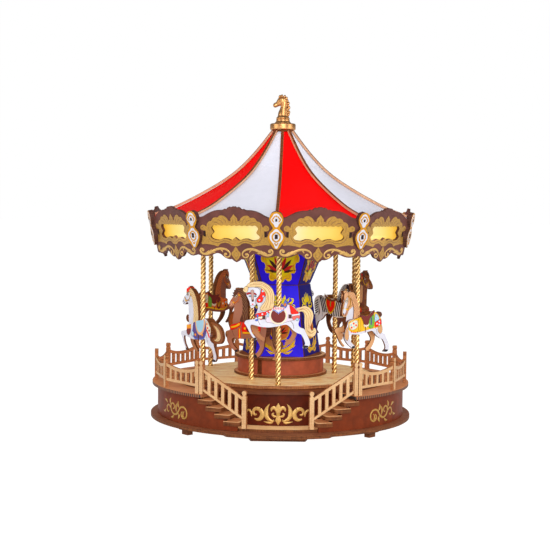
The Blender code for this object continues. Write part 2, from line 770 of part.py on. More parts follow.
# Head, tail, gait, height of the trunk's middle, turn from the track's direction, shift along the horse and
# colour, in pole order
HORSES = [
    (FACING_HEAD, FLOWING_TAIL, "reaching", 110.0, 0.0, 0.0, WHITE_COAT),
    (ARCHED_HEAD, DOCKED_TAIL, "pawing", 99.9, -25.0, -7.0, (0.8, 0.6, 0.4)),
    (RAISED_HEAD, FLOWING_TAIL, "tucked", 107.0, 0.0, 0.0, BROWN_COAT),
    (RAISED_HEAD, FLOWING_TAIL, "reaching", 94.0, 0.0, 0.0, WHITE_COAT),
    (PROFILE_HEAD, FLOWING_TAIL, "tucked", 111.6, -8.0, 0.0, BROWN_COAT),
    (RAISED_HEAD, FLOWING_TAIL, "reaching", 92.4, 10.0, 0.0, WHITE_COAT),
    (BOWED_HEAD, FLOWING_TAIL, "tucked", 94.0, 0.0, 0.0, (0.3, 0.14, 0.07)),
    (LOW_HEAD, FLOWING_TAIL, "tucked", 112.6, 38.0, 0.0, (0.25, 0.2, 0.2)),
    (PROFILE_HEAD, FLOWING_TAIL, "reaching", 94.0, 0.0, 0.0, BROWN_COAT),
]


def mount_horses(rotor):
    """Each horse on its pole: one above the middle level is at the top of its stroke."""
    for index, (radius, degrees) in enumerate(pole_places()):
        head, tail, gait, level, turn, shift, colour = HORSES[index]
        label = index + 1
        x, y = polar(radius, degrees)
        lift = joint_empty("gallop_" + str(label), rotor)
        lift.location = (x * MM, y * MM, level * MM)
        lift.rotation_euler = (0, 0, math.radians(180 + degrees + turn))
        top_level = level if level > MIDDLE_LEVEL else level + GALLOP
        foot = POLE_FOOT - top_level
        rod = disc(POLE_RADIUS, foot, foot + POLE_LENGTH, POLE_SIDES)
        piece("pole_" + str(label), rod, GOLD, lift, 40)
        piece("horse_" + str(label), horse(head, tail, *GAITS[gait], shift), (colour, 0.5), lift)


def clear_scene():
    for old in list(bpy.data.objects):
        bpy.data.objects.remove(old)


def build_base():
    piece("base_plate", sheet([base_outline()], PLATE_BOTTOM, PLATE_TOP), BROWN)
    piece("front_foot", front_foot(), BROWN)
    for name, degrees in ROUND_FEET.items():
        piece(name, round_foot(degrees), BROWN)
    piece("drum_wall", drum_wall(), BROWN, None, 30)
    piece("landing", landing(), BIRCH)
    for side, label in ((1, "right"), (-1, "left")):
        for index in range(TREAD_COUNT):
            piece("tread_" + label + "_" + str(index + 1), tread(side, index), BROWN)
        piece("stair_railing_" + label, stair_railing(side), BIRCH)
    piece("recess_wall", recess_wall(), BROWN, None, 30)
    piece("deck", deck(), BROWN, None, 30)
    piece("track_ring", ring(TRACK_INNER, TRACK_OUTER, DECK_TOP + GAP, TRACK_TOP), BROWN, None, 30)
    piece("deck_railing", deck_railing(), TAN)


def build_rotor(rotor):
    floor = disc(TURNTABLE_RADIUS, TURNTABLE_BOTTOM, TURNTABLE_TOP)
    piece("turntable", drilled(floor, TURNTABLE_BOTTOM - 2, TURNTABLE_TOP + 2), BIRCH, rotor, 30)
    foot = ring(34, PEDESTAL_FOOT_RADIUS, TURNTABLE_TOP + GAP, PEDESTAL_FOOT_TOP)
    piece("pedestal_foot", foot, BROWN, rotor, 30)
    piece("pedestal_wall", pedestal_wall(), BROWN, rotor, 30)
    rim = ring(24, PEDESTAL_RIM_RADIUS, PEDESTAL_WALL_TOP + GAP, PEDESTAL_TOP)
    piece("pedestal_rim", rim, BROWN, rotor, 30)
    base, waist, top = COLUMN_RADII
    lower = column_part(base, waist, PEDESTAL_TOP + GAP, COLUMN_WAIST - GAP / 2)
    piece("column_lower", lower, BLUE, rotor)
    upper = column_part(waist, top, COLUMN_WAIST + GAP / 2, COLUMN_TOP)
    piece("column_upper", upper, BLUE, rotor)
    piece("ceiling_plate", ceiling_plate(), DARK, rotor)
    piece("fascia", fascia(), DARK, rotor)
    piece("window_band", diffuser(), WARM_WHITE, rotor)
    piece("roof_shell", roof_shell(), RED, rotor)
    piece("roof_ribs", roof_ribs(), BROWN, rotor)
    piece("cap", cap(), GOLD, rotor, 40)
    piece("finial", finial(), GOLD, rotor, 40)


def main():
    clear_scene()
    rotor = joint_empty("carousel_axis")
    rotor.rotation_euler = (0, 0, math.radians(REST_TURN))
    build_base()
    build_rotor(rotor)
    mount_horses(rotor)


main()
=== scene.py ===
import math

import bmesh
import bpy
from mathutils import Matrix, Vector
from mathutils.geometry import tessellate_polygon


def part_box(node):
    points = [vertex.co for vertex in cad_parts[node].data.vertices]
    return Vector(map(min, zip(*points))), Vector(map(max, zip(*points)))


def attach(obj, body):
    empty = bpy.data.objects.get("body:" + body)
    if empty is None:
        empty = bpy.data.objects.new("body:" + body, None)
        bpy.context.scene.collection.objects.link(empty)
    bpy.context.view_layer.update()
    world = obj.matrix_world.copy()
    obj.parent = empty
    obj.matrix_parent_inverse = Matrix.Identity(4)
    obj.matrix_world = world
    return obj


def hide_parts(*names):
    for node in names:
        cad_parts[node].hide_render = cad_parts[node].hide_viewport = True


# A table-top carousel of laser-cut painted plywood. Shapes are drawn in millimetres, in the CAD's frame.
# Angles are in degrees about +Z, from the front (-Y), positive towards +X.

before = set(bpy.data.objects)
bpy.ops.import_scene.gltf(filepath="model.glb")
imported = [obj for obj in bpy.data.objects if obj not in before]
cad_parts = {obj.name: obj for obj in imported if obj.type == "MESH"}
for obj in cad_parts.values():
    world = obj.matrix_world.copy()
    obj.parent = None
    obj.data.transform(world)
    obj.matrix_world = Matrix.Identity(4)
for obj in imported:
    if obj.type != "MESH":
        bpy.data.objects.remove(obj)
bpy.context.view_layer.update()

MM = 0.001
SIDES = 10
PANEL = 360 / SIDES
REST_TURN = -1.2

# Heights
PLATE_BOTTOM, PLATE_TOP = 7.0, 10.0
LANDING_TOP = 12.8
DECK_BOTTOM, DECK_TOP = 38.8, 41.5
TRACK_TOP = 44.7
TURNTABLE_BOTTOM, TURNTABLE_TOP = 45.3, 48.3
FOOT_TOP, WALL_TOP, RIM_TOP = 51.1, 65.1, 68.2
WAIST, COLUMN_TOP = 138.0, 175.7
CEILING_TOP = 179.0
CAP_BOTTOM, CAP_TOP = 290.5, 297.0
GAP = 0.3

# Radii
PLATE_RADIUS, PLATE_FRONT = 129.5, 135.0
DRUM_RADIUS, DRUM_INNER = 122.6, 120.6
RECESS_OUTER, RECESS_INNER = 101.0, 99.0
DECK_OUTER, DECK_INNER = 128.0, 97.0
TRACK_OUTER, TRACK_INNER = 103.9, 89.2
TURNTABLE_RADIUS = 91.0
COLUMN_RADII = (41.1, 30.1, 46.4)
POST_RADIUS = 124.0

# Places in shape

UP = (0, 0, 1)
ARC_STEP = 1.5
ON_AXIS = 1e-6


def polar(radius, degrees, z=0.0):
    angle = math.radians(degrees)
    return Vector((radius * math.sin(angle), -radius * math.cos(angle), z))


def flat_polar(radius, degrees):
    return tuple(polar(radius, degrees).xy)


def arc(radius, start, end):
    count = max(2, math.ceil(abs(end - start) / ARC_STEP) + 1)
    return [flat_polar(radius, start + (end - start) * i / (count - 1)) for i in range(count)]


def mirror(points):
    return [(-p[0], *p[1:]) for p in points]


def mirrored(points):
    """The points, then the same ones across the vertical axis in reverse, without doubling the middle."""
    return points + mirror([p for p in reversed(points) if abs(p[0]) > ON_AXIS])


def smoothed(points, steps, closed=False):
    """Points on a smooth curve through the given ones, with any values after the first two smoothed too."""
    count = len(points)
    result = []
    for index in range(count if closed else count - 1):
        near = range(index - 1, index + 3)
        four = [points[i % count if closed else min(max(i, 0), count - 1)] for i in near]
        for step in range(steps):
            t = step / steps
            a = -0.5 * t + t * t - 0.5 * t**3
            b = 1 - 2.5 * t * t + 1.5 * t**3
            c = 0.5 * t + 2 * t * t - 1.5 * t**3
            d = -0.5 * t * t + 0.5 * t**3
            result.append(tuple(a * p + b * q + c * r + d * s for p, q, r, s in zip(*four)))
    if not closed:
        result.append(tuple(points[-1]))
    return result


def rounded(points):
    return smoothed(points, 3, True)


def whole(half, steps):
    """A smooth outline from its right half."""
    return mirrored(smoothed(half, steps))


def run_at(line, index):
    """The step from the point before one of a line's points to the point after it."""
    before, after = line[max(index - 1, 0)], line[min(index + 1, len(line) - 1)]
    return after[0] - before[0], after[1] - before[1]


def on_plane(across, up, out, origin=(0, 0, 0)):
    """Maps (across, up, out) on a flat face at a point to the frame."""
    matrix = Matrix((across, up, out)).transposed().to_4x4()
    matrix.translation = origin
    return lambda u, v, h: matrix @ Vector((u, v, h))


def level(u, v, h):
    """Maps plan points straight to the frame, with the third value as the height."""
    return Vector((u, v, h))


def upright(centre, degrees):
    """A face that stands at a plan point and looks outwards at an angle."""
    return on_plane(polar(1.0, degrees + 90), UP, polar(1.0, degrees), (*centre, 0))


def around(radius, degrees):
    """Maps (across, height, out) to a round wall."""
    return lambda u, v, h: polar(radius + h, degrees + math.degrees(u / radius), v)


def leaning(degrees, run, reach):
    """Maps (across, height, out) to a flat face that moves out by run a unit of height, to reach(height)."""
    lean = math.atan(run)
    normal = polar(math.cos(lean), degrees, -math.sin(lean))
    across = polar(1.0, degrees + 90)
    return lambda u, v, h: polar(reach(v), degrees, v) + across * u + normal * h


# Shapes


class Shape:
    """The faces of one piece, each with the material that it wears."""

    def __init__(self):
        self.work = bmesh.new()
        self.looks = []

    def index(self, look):
        if look not in self.looks:
            self.looks.append(look)
        return self.looks.index(look)

    def face(self, verts, look, smooth=False):
        made = self.work.faces.new(verts)
        made.material_index = self.index(look)
        made.smooth = smooth

    def grid(self, rows, look, round_rows=False, round_columns=False, smooth=True):
        """A skin over rows of points, closed round on either way if asked."""
        verts = [[self.work.verts.new(p) for p in row] for row in rows]
        for i in range(len(verts) - (0 if round_rows else 1)):
            here, there = verts[i], verts[(i + 1) % len(verts)]
            for j in range(len(here) - (0 if round_columns else 1)):
                k = (j + 1) % len(here)
                self.face((here[j], here[k], there[k], there[j]), look, smooth)
        return verts

    def caps(self, verts, look):
        """Closes the first and the last row of a skin."""
        for end in (0, -1):
            self.face(verts[end], look)

    def bent_wall(self, inner, outer, low, high, angles, look, ends=None):
        """A wall bent about the axis, with its two ends closed where they have a look."""
        section = [(inner, low), (outer, low), (outer, high), (inner, high)]
        rows = [[polar(r, a, z) for a in angles] for r, z in section]
        self.grid(rows, look, True)
        if ends:
            for end in (0, -1):
                self.face([self.work.verts.new(row[end]) for row in rows], ends)

    def plate(self, loops, place, low, high, front, edge, back=None):
        """A sheet with the outline loops[0] and holes loops[1:], from depth low to depth high."""
        flat = [[Vector((p[0], p[1], 0.0)) for p in loop] for loop in loops]
        points = [p for loop in flat for p in loop]
        tops = [self.work.verts.new(place(p.x, p.y, high)) for p in points]
        feet = [self.work.verts.new(place(p.x, p.y, low)) for p in points]
        for a, b, c in tessellate_polygon(flat):
            self.face((tops[a], tops[b], tops[c]), front)
            self.face((feet[c], feet[b], feet[a]), back or front)
        start = 0
        for loop in flat:
            for i in range(len(loop)):
                a, b = start + i, start + (i + 1) % len(loop)
                self.face((tops[a], feet[a], feet[b], tops[b]), edge)
            start += len(loop)

    def ribbon(self, path, place, base, lift, look, steps=4):
        """A raised stroke along (across, up, half width) points, domed over its width."""
        line = smoothed(path, steps)
        dome = ((-1, 0), (-0.72, 0.75), (0, 1), (0.72, 0.75), (1, 0))
        rows = []
        for index, (u, v, w) in enumerate(line):
            du, dv = run_at(line, index)
            size = math.hypot(du, dv) or 1.0
            half = max(w, 0.04)
            side = (-dv / size * half, du / size * half)
            rise = lift * min(1.0, 0.35 + max(w, 0.0) * 1.2)
            rows.append([place(u + side[0] * a, v + side[1] * a, base + rise * up) for a, up in dome])
        self.grid(rows, look)

    def turned(self, profile, look, segments=160):
        """A (radius, height) outline turned about the axis."""
        rows = [[polar(r, 360 * i / segments, z) for i in range(segments)] for r, z in profile]
        self.grid(rows, look, False, True)

    def done(self, name, body, slot, *nodes, sharp=None):
        """The finished piece, which rides on a body and stands for the named CAD nodes."""
        bmesh.ops.remove_doubles(self.work, verts=self.work.verts, dist=0.002)
        bmesh.ops.recalc_face_normals(self.work, faces=self.work.faces)
        mesh = bpy.data.meshes.new(name)
        self.work.to_mesh(mesh)
        self.work.free()
        turn = 0.0 if body == "base" else REST_TURN
        mesh.transform(Matrix.Scale(MM, 4) @ Matrix.Rotation(math.radians(turn), 4, "Z"))
        for look in self.looks:
            mesh.materials.append(look)
        if sharp:
            mesh.set_sharp_from_angle(angle=math.radians(sharp))
        piece = bpy.data.objects.new(name, mesh)
        bpy.context.scene.collection.objects.link(piece)
        if nodes:
            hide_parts(*nodes)
        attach(piece, body)

    def finish(self, node, body, slot, sharp=None):
        """The finished piece of one CAD node, named after it."""
        self.done(node + "_finish", body, slot, node, sharp=sharp)


def ring_profile(inner, outer, low, high, ease=0.25):
    """The outline of a flat ring's section with eased corners."""
    return [
        (inner, low),
        (outer - ease, low),
        (outer, low + ease),
        (outer, high - ease),
        (outer - ease, high),
        (inner, high),
        (inner, low),
    ]


# Materials


def linear(colour):
    """A colour of three screen values from 0 to 255 as the shader takes it."""
    return [c / 255 / 12.92 if c / 255 <= 0.04045 else ((c / 255 + 0.055) / 1.055) ** 2.4 for c in colour]


class Look:
    """A node material that is built up a step at a time."""

    def __init__(self, name, rough, metal=0.0, specular=0.5):
        self.material = bpy.data.materials.new(name)
        self.material.use_nodes = True
        self.nodes = self.material.node_tree.nodes
        self.links = self.material.node_tree.links
        self.shader = self.nodes["Principled BSDF"]
        self.fill(self.shader, {"Roughness": rough, "Metallic": metal, "Specular IOR Level": specular})
        self.where = self.nodes.new("ShaderNodeTexCoord").outputs["Object"]

    def fill(self, node, inputs):
        """Gives a node's inputs, by name or number, plain values or links from other sockets."""
        for key, value in inputs.items():
            if isinstance(value, bpy.types.NodeSocket):
                self.links.new(value, node.inputs[key])
            else:
                node.inputs[key].default_value = value
        return node

    def add(self, kind, inputs):
        return self.fill(self.nodes.new("ShaderNode" + kind), inputs)

    def calculate(self, operation, *values):
        made = self.nodes.new("ShaderNodeMath")
        made.operation = operation
        return self.fill(made, dict(enumerate(values))).outputs[0]

    def noise(self, scale, stretch=(1, 1, 1), detail=4.0, rough=0.55, distortion=0.0):
        """A noise of so many cells a metre, stretched along the axes."""
        mapping = self.add("Mapping", {"Scale": [scale * s for s in stretch], "Vector": self.where})
        inputs = {"Scale": 1.0, "Detail": detail, "Roughness": rough, "Distortion": distortion}
        return self.add("TexNoise", {**inputs, "Vector": mapping.outputs["Vector"]}).outputs["Fac"]

    def ramp(self, source, stops):
        """Colours along a value from 0 to 1, as (place, colour) pairs."""
        made = self.add("ValToRGB", {"Fac": source})
        elements = made.color_ramp.elements
        while len(elements) < len(stops):
            elements.new(0.5)
        for element, (place, colour) in zip(elements, stops):
            element.position = place
            element.color = (*linear(colour), 1.0)
        return made.outputs["Color"]

    def tones(self, source, colour, low, high):
        """A colour from a darker to a lighter shade along a value."""
        return self.ramp(source, [(0.3, shaded(colour, low)), (0.7, shaded(colour, high))])

    def mix(self, factor, first, second):
        made = self.nodes.new("ShaderNodeMix")
        made.data_type = "RGBA"
        return self.fill(made, {0: factor, 6: first, 7: second}).outputs[2]

    def bump(self, height, strength):
        made = self.add("Bump", {"Strength": strength, "Distance": 0.0002, "Height": height})
        self.fill(self.shader, {"Normal": made.outputs["Normal"]})

    def roughness(self, source, low, high):
        made = self.add("MapRange", {"To Min": low, "To Max": high, "Value": source})
        self.fill(self.shader, {"Roughness": made.outputs["Result"]})

    def colour(self, source):
        self.fill(self.shader, {"Base Color": source})
        return self.material


def shaded(colour, factor):
    return [min(255, c * factor) for c in colour]


def paint(name, colour, rough=0.42, vary=0.1, specular=0.22):
    """Brushed or sprayed paint over plywood: slight mottling, and a faint grain in relief."""
    look = Look(name, rough, specular=specular)
    mottle = look.noise(120, (1, 1, 1), 5)
    grain = look.noise(260, (1, 1, 9), 3)
    look.roughness(grain, rough - 0.06, rough + 0.08)
    look.bump(grain, 0.12)
    return look.colour(look.tones(mottle, colour, 1 - vary, 1 + vary))


def wood(name, dark, light):
    """Birch plywood: long streaks of grain with fine pores, lighter and darker over the sheet."""
    look = Look(name, 0.5, specular=0.25)
    streaks = look.noise(900, (0.12, 1, 1), 6, 0.62, 0.6)
    clouds = look.noise(60, (1, 1, 1), 3)
    tone = look.ramp(streaks, [(0.32, dark), (0.66, light)])
    body = look.mix(0.35, tone, look.ramp(clouds, [(0.35, dark), (0.65, light)]))
    look.roughness(streaks, 0.45, 0.62)
    look.bump(streaks, 0.25)
    return look.colour(body)


def burnt_edge(name, dark, light):
    """A laser-cut edge: scorched, with the plies as fine lines and short marks of the cut."""
    look = Look(name, 0.62, specular=0.2)
    plies = look.noise(1500, (0.05, 0.05, 1), 2)
    cut = look.noise(900, (1, 1, 0.1), 3)
    tone = look.ramp(plies, [(0.38, dark), (0.62, light)])
    look.bump(cut, 0.35)
    return look.colour(look.mix(0.35, tone, look.ramp(cut, [(0.35, shaded(dark, 0.7)), (0.6, light)])))


def gold(name, colour, rough, tint=0.14, metal=1.0):
    """Plating with faint patches."""
    look = Look(name, rough, metal)
    patches = look.noise(300)
    look.roughness(patches, rough - 0.05, rough + 0.08)
    look.bump(patches, 0.1)
    return look.colour(look.tones(patches, colour, 1 - tint, 1 + tint))


def printed_gold(name, colour):
    """Gold ink on painted wood, with a soft shimmer rather than a mirror's shine."""
    look = Look(name, 0.38, 0.35)
    grain = look.noise(700, (1, 1, 4), 4)
    look.bump(grain, 0.15)
    return look.colour(look.tones(grain, colour, 0.84, 1.12))


DRUM_PAINT = paint("drum_red_brown", (120, 50, 22), 0.5, 0.1, 0.1)
RECESS_PAINT = paint("recess_red_brown", (86, 29, 10), 0.5, 0.14, 0.1)
BASE_STAIN = wood("base_stain", (94, 46, 28), (142, 88, 60))
DECK_STAIN = wood("deck_stain", (168, 102, 62), (212, 146, 98))
DARK_STAIN = wood("dark_stain", (80, 36, 16), (120, 64, 32))
BIRCH = wood("pale_birch", (206, 152, 100), (234, 192, 142))
# Painted shade: the inner faces of the railings and posts take this darker, more orange birch
SHADED_BIRCH = wood("birch_painted_shade", (204, 118, 66), (236, 162, 110))
TREAD_WOOD = wood("tread_wood", (206, 148, 96), (246, 206, 152))
EDGE = burnt_edge("burnt_edge", (82, 38, 14), (138, 78, 38))
PALE_EDGE = burnt_edge("pale_burnt_edge", (126, 68, 34), (196, 126, 76))
PEDESTAL_PAINT = paint("pedestal_red_brown", (160, 76, 48), 0.48, 0.1)
FASCIA_PAINT = paint("fascia_brown", (106, 62, 54), 0.5, 0.1)
FASCIA_EDGE = burnt_edge("fascia_edge", (60, 32, 28), (104, 62, 48))
GOLD_INK = printed_gold("gold_ink", (182, 136, 56))
PALE_GOLD_INK = printed_gold("pale_gold_ink", (206, 162, 88))
SHADE_INK = printed_gold("dull_gold_ink", (140, 98, 50))
WHITE_INK = paint("white_ink", (224, 222, 230), 0.4, 0.03)
AMBER_INK = paint("amber_ink", (208, 142, 24), 0.4, 0.08)
ORANGE_INK = paint("orange_ink", (226, 112, 34), 0.4, 0.08)
YELLOW_INK = paint("yellow_ink", (254, 224, 6), 0.4, 0.05)
GOLD_YELLOW = paint("gold_yellow_ink", (246, 190, 8), 0.4, 0.08)
# Painted shade: the dark inside of slots and holes, drawn as plates
SLOT_DARK = paint("slot_dark", (44, 22, 18), 0.6, 0.1)
ROOF_RED = paint("roof_red", (254, 2, 4), 0.5, 0.01, 0.06)
ROOF_WHITE = paint("roof_white", (228, 228, 240), 0.5, 0.01, 0.1)
PLATED = gold("gold_plating", (194, 142, 90), 0.34)
ROD_GOLD = gold("rod_gold", (240, 192, 124), 0.24, 0.12, 0.8)
# Painted shade for the grooves of the twisted poles
ROD_GROOVE_SHADE = gold("rod_groove_painted_shade", (150, 92, 34), 0.4, 0.15, 0.7)
RIB_SIDE = wood("rib_side", (190, 132, 98), (228, 182, 146))
COLUMN_BLUE = paint("column_blue", (48, 26, 252), 0.42, 0.04, 0.1)
# Painted shade: the column's blue, darkened for the panels that face away from the front
COLUMN_SHADED_BLUE = paint("column_blue_painted_shade", (26, 18, 132), 0.5, 0.05, 0.06)
COLUMN_NIGHT = paint("column_night", (62, 26, 14), 0.45, 0.1)
COLUMN_RED = paint("column_red", (206, 30, 26), 0.4, 0.08)
COLUMN_CORNER = paint("column_corner", (84, 34, 22), 0.5, 0.12)
# Painted shade: the ceiling plate, seen only from below, is given this dark brown
CEILING_DARK = paint("ceiling_dark", (60, 30, 26), 0.6, 0.15)


def fit_material(node, look):
    """Gives a CAD node that keeps its own shape a finish."""
    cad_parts[node].data.materials.clear()
    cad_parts[node].data.materials.append(look)


# Camera, floor and light

CAMERA_DISTANCE = 1150.0
CAMERA_HEIGHT = 210.8
CAMERA_AZIMUTH = 0.95
CAMERA_YAW = 0.32
CAMERA_PITCH = -3.21
CAMERA_ROLL = 0.55
IMAGE_SIDE = 550
FOCAL_PIXELS = 1150
SENSOR = 36.0


def set_camera():
    data = bpy.data.cameras.new("camera")
    data.sensor_width = SENSOR
    data.lens = SENSOR * FOCAL_PIXELS / IMAGE_SIDE
    camera = bpy.data.objects.new("camera", data)
    bpy.context.scene.collection.objects.link(camera)
    camera.location = polar(CAMERA_DISTANCE, CAMERA_AZIMUTH, CAMERA_HEIGHT) * MM
    aim = Matrix.Rotation(math.radians(CAMERA_AZIMUTH + CAMERA_YAW), 4, "Z")
    tilt = Matrix.Rotation(math.radians(90 + CAMERA_PITCH), 4, "X")
    roll = Matrix.Rotation(math.radians(CAMERA_ROLL), 4, "Z")
    camera.rotation_euler = (aim @ tilt @ roll).to_euler()
    bpy.context.scene.camera = camera


def area_light(name, place, size, power, colour=(1, 1, 1), shadow=True):
    """A square lamp that looks at the model's middle, or down from where it hangs over the axis."""
    data = bpy.data.lights.new(name, "AREA")
    data.energy = power
    data.use_shadow = shadow
    data.size = size
    data.color = colour
    light = bpy.data.objects.new(name, data)
    bpy.context.scene.collection.objects.link(light)
    light.location = place
    aim = Vector((0, 0, min(0.15, place[2] - 0.1))) - Vector(place)
    light.rotation_euler = aim.to_track_quat("-Z", "Y").to_euler()
    light.visible_camera = False
    light.visible_glossy = shadow


def stage_piece(name, work, look):
    mesh = bpy.data.meshes.new(name)
    work.to_mesh(mesh)
    work.free()
    mesh.materials.append(look)
    made = bpy.data.objects.new(name, mesh)
    bpy.context.scene.collection.objects.link(made)
    return made


def stage_white(name, rough, specular, strength, scale, greys):
    """A faintly uneven grey that shines white by itself."""
    look = Look(name, rough, specular=specular)
    look.fill(look.shader, {"Emission Color": (1, 1, 1, 1), "Emission Strength": strength})
    low, high = greys
    return look.colour(look.ramp(look.noise(scale), [(0.3, [low] * 3), (0.7, [high] * 3)]))


# Name, distance, angle, height, size and power of the lamps round the model
LAMPS = [
    ("key", 1.6, 8, 0.4, 0.9, 12),
    ("high", 1.5, -4, 0.85, 0.5, 5),
    ("left", 1.5, -62, 0.4, 0.8, 5.5),
    ("right", 1.5, 68, 0.4, 0.8, 6.5),
]


def set_stage():
    """A white floor and a white dome behind everything, which casts no light of its own."""
    floor = bmesh.new()
    bmesh.ops.create_grid(floor, x_segments=1, y_segments=1, size=20.0)
    white = stage_white("floor_white", 0.9, 0.1, 0.93, 3, (134, 140))
    stage_piece("floor", floor, white).visible_diffuse = False
    dome = bmesh.new()
    bmesh.ops.create_uvsphere(dome, u_segments=48, v_segments=24, radius=19.0)
    backdrop = stage_piece("dome", dome, stage_white("dome_white", 1.0, 0.0, 1.0, 1, (8, 9)))
    backdrop.visible_diffuse = False
    backdrop.visible_glossy = False
    backdrop.visible_transmission = False
    backdrop.visible_shadow = False
    world = bpy.data.worlds.new("studio")
    world.use_nodes = True
    world.node_tree.nodes["Background"].inputs["Color"].default_value = (1, 1, 1, 1)
    world.node_tree.nodes["Background"].inputs["Strength"].default_value = 0.34
    bpy.context.scene.world = world
    bpy.context.scene.view_settings.view_transform = "Standard"
    for name, distance, degrees, height, size, power in LAMPS:
        area_light(name, polar(distance, degrees, height), size, power)
    area_light("top", polar(0.5, 6, 1.6), 0.8, 4, shadow=False)
    area_light("canopy", Vector((0, 0, 0.188)), 0.2, 0.32, (1, 0.92, 0.78), False)


# Base


def plate_outline():
    """The round base plate, wider at its front, with curved shoulders beside that."""
    shoulder = [(PLATE_FRONT - 0.5, 20.2), (132.6, 21.2), (130.4, 22.0)]
    right = arc(PLATE_FRONT, 0, 19.2) + [flat_polar(r, a) for r, a in shoulder]
    back = arc(PLATE_RADIUS, 23, 337)
    return right + back + mirror(reversed(right[1:]))


def make_base_plate():
    shape = Shape()
    shape.plate([plate_outline()], level, PLATE_BOTTOM, PLATE_TOP, BASE_STAIN, EDGE)
    shape.finish("base_plate", "base", "base_paint")


LANDING_RADIUS, LANDING_HALF = 120.2, 17.2


def make_landing():
    shape = Shape()
    shoulder = LANDING_RADIUS - 4
    loop = arc(LANDING_RADIUS, -LANDING_HALF, LANDING_HALF) + [flat_polar(shoulder, 19.8)]
    loop += arc(RECESS_OUTER + GAP, 21, -21) + [flat_polar(shoulder, -19.8)]
    shape.plate([loop], level, PLATE_TOP + GAP, LANDING_TOP, TREAD_WOOD, EDGE)
    shape.finish("landing", "base", "landing_wood")


TREAD_RISE, TREAD_THICKNESS, TREAD_SPAN, TREAD_STEP, TREAD_START = 5.8, 3.6, 7.4, 4.4, 16.2
TREAD_COUNT = 4
TREAD_OUTER = 124.5


def tread_top(index):
    return LANDING_TOP + TREAD_RISE * (index + 1)


def make_treads():
    """Four treads a side, each with a pale band set in from its edge: pale birch along the nose, with a
    painted highlight.
    """
    for side, label in ((1, "right"), (-1, "left")):
        for index in range(TREAD_COUNT):
            shape = Shape()
            begin = TREAD_START + index * TREAD_STEP
            end = begin + TREAD_SPAN
            loop = arc(TREAD_OUTER, side * (begin + 0.8), side * end)
            loop += arc(RECESS_OUTER + GAP, side * end, side * begin)
            loop.append(flat_polar(TREAD_OUTER - 1.6, side * begin))
            top = tread_top(index)
            shape.plate([loop], level, top - TREAD_THICKNESS, top, DECK_STAIN, EDGE)
            # Painted highlight: a pale birch band along the nose and the outer edge
            lip = arc(TREAD_OUTER - 0.5, side * (begin + 0.9), side * end)
            lip += arc(TREAD_OUTER - 2.0, side * end, side * (begin + 1.2))
            corners = ((RECESS_OUTER + 2, 1.0), (RECESS_OUTER + 2, 0.2), (TREAD_OUTER - 2.0, 0.3))
            lip += [flat_polar(radius, side * (begin + inset)) for radius, inset in corners]
            shape.plate([lip], level, top, top + 0.25, BIRCH, BIRCH)
            shape.finish(f"tread_{label}_{index + 1}", "base", "tread_paint")


def make_drum():
    """The bent outer wall, its top edge stepped down under each flight."""
    shape = Shape()
    start = TREAD_START + 1.3
    bands = []
    for index in range(TREAD_COUNT):
        end = TREAD_START + TREAD_SPAN + index * TREAD_STEP
        bands.append((start, end, tread_top(index) - TREAD_THICKNESS - GAP))
        start = end
    bands.append((start, 180.0, DECK_BOTTOM - GAP))
    for side in (1, -1):
        for begin, end, high in bands:
            count = max(2, math.ceil((end - begin) / ARC_STEP))
            angles = [side * (begin + (end - begin) * i / count) for i in range(count + 1)]
            shape.bent_wall(DRUM_INNER, DRUM_RADIUS, PLATE_TOP + GAP, high, angles, DRUM_PAINT)
    shape.finish("drum_wall", "base", "drum_paint", 30)


DECK_END = 33.8
RECESS_END = 36.0


def make_recess():
    """The curved wall behind the landing."""
    shape = Shape()
    angles = [-RECESS_END + ARC_STEP * i for i in range(int(RECESS_END * 2 / ARC_STEP) + 1)]
    shape.bent_wall(RECESS_INNER, RECESS_OUTER, PLATE_TOP + GAP, DECK_TOP, angles, RECESS_PAINT, EDGE)
    shape.finish("recess_wall", "base", "drum_paint", 30)


def make_deck():
    """The deck, cut away over the landing, and the track ring on it."""
    shape = Shape()
    notch = RECESS_END + 0.8
    loop = arc(DECK_OUTER, DECK_END + 0.7, 360 - DECK_END - 0.7)
    loop.append(flat_polar(DECK_OUTER - 2, -DECK_END))
    loop += arc(RECESS_OUTER + GAP, -DECK_END, -notch)
    loop += arc(DECK_INNER, 360 - notch, notch)
    loop += arc(RECESS_OUTER + GAP, notch, DECK_END)
    loop.append(flat_polar(DECK_OUTER - 2, DECK_END))
    shape.plate([loop], level, DECK_BOTTOM, DECK_TOP, DECK_STAIN, toothed_edge("deck_edge", 300))
    shape.finish("deck", "base", "deck_paint")
    track = Shape()
    track.turned(ring_profile(TRACK_INNER, TRACK_OUTER, DECK_TOP + GAP, TRACK_TOP), DARK_STAIN)
    track.done("track_finish", "base", "track_paint", "track_ring", sharp=40)


def toothed_edge(name, count):
    """An edge cut in short scallops that run right round the axis."""
    look = Look(name, 0.6)
    axes = look.add("SeparateXYZ", {0: look.where}).outputs
    turn = look.calculate("ARCTAN2", axes["X"], axes["Y"])
    wave = look.calculate("SINE", look.calculate("MULTIPLY", turn, count))
    teeth = look.calculate("MULTIPLY_ADD", wave, 0.5, 0.5)
    look.bump(teeth, 0.6)
    return look.colour(look.ramp(teeth, [(0.3, (44, 18, 6)), (0.7, (150, 88, 48))]))


# Railings

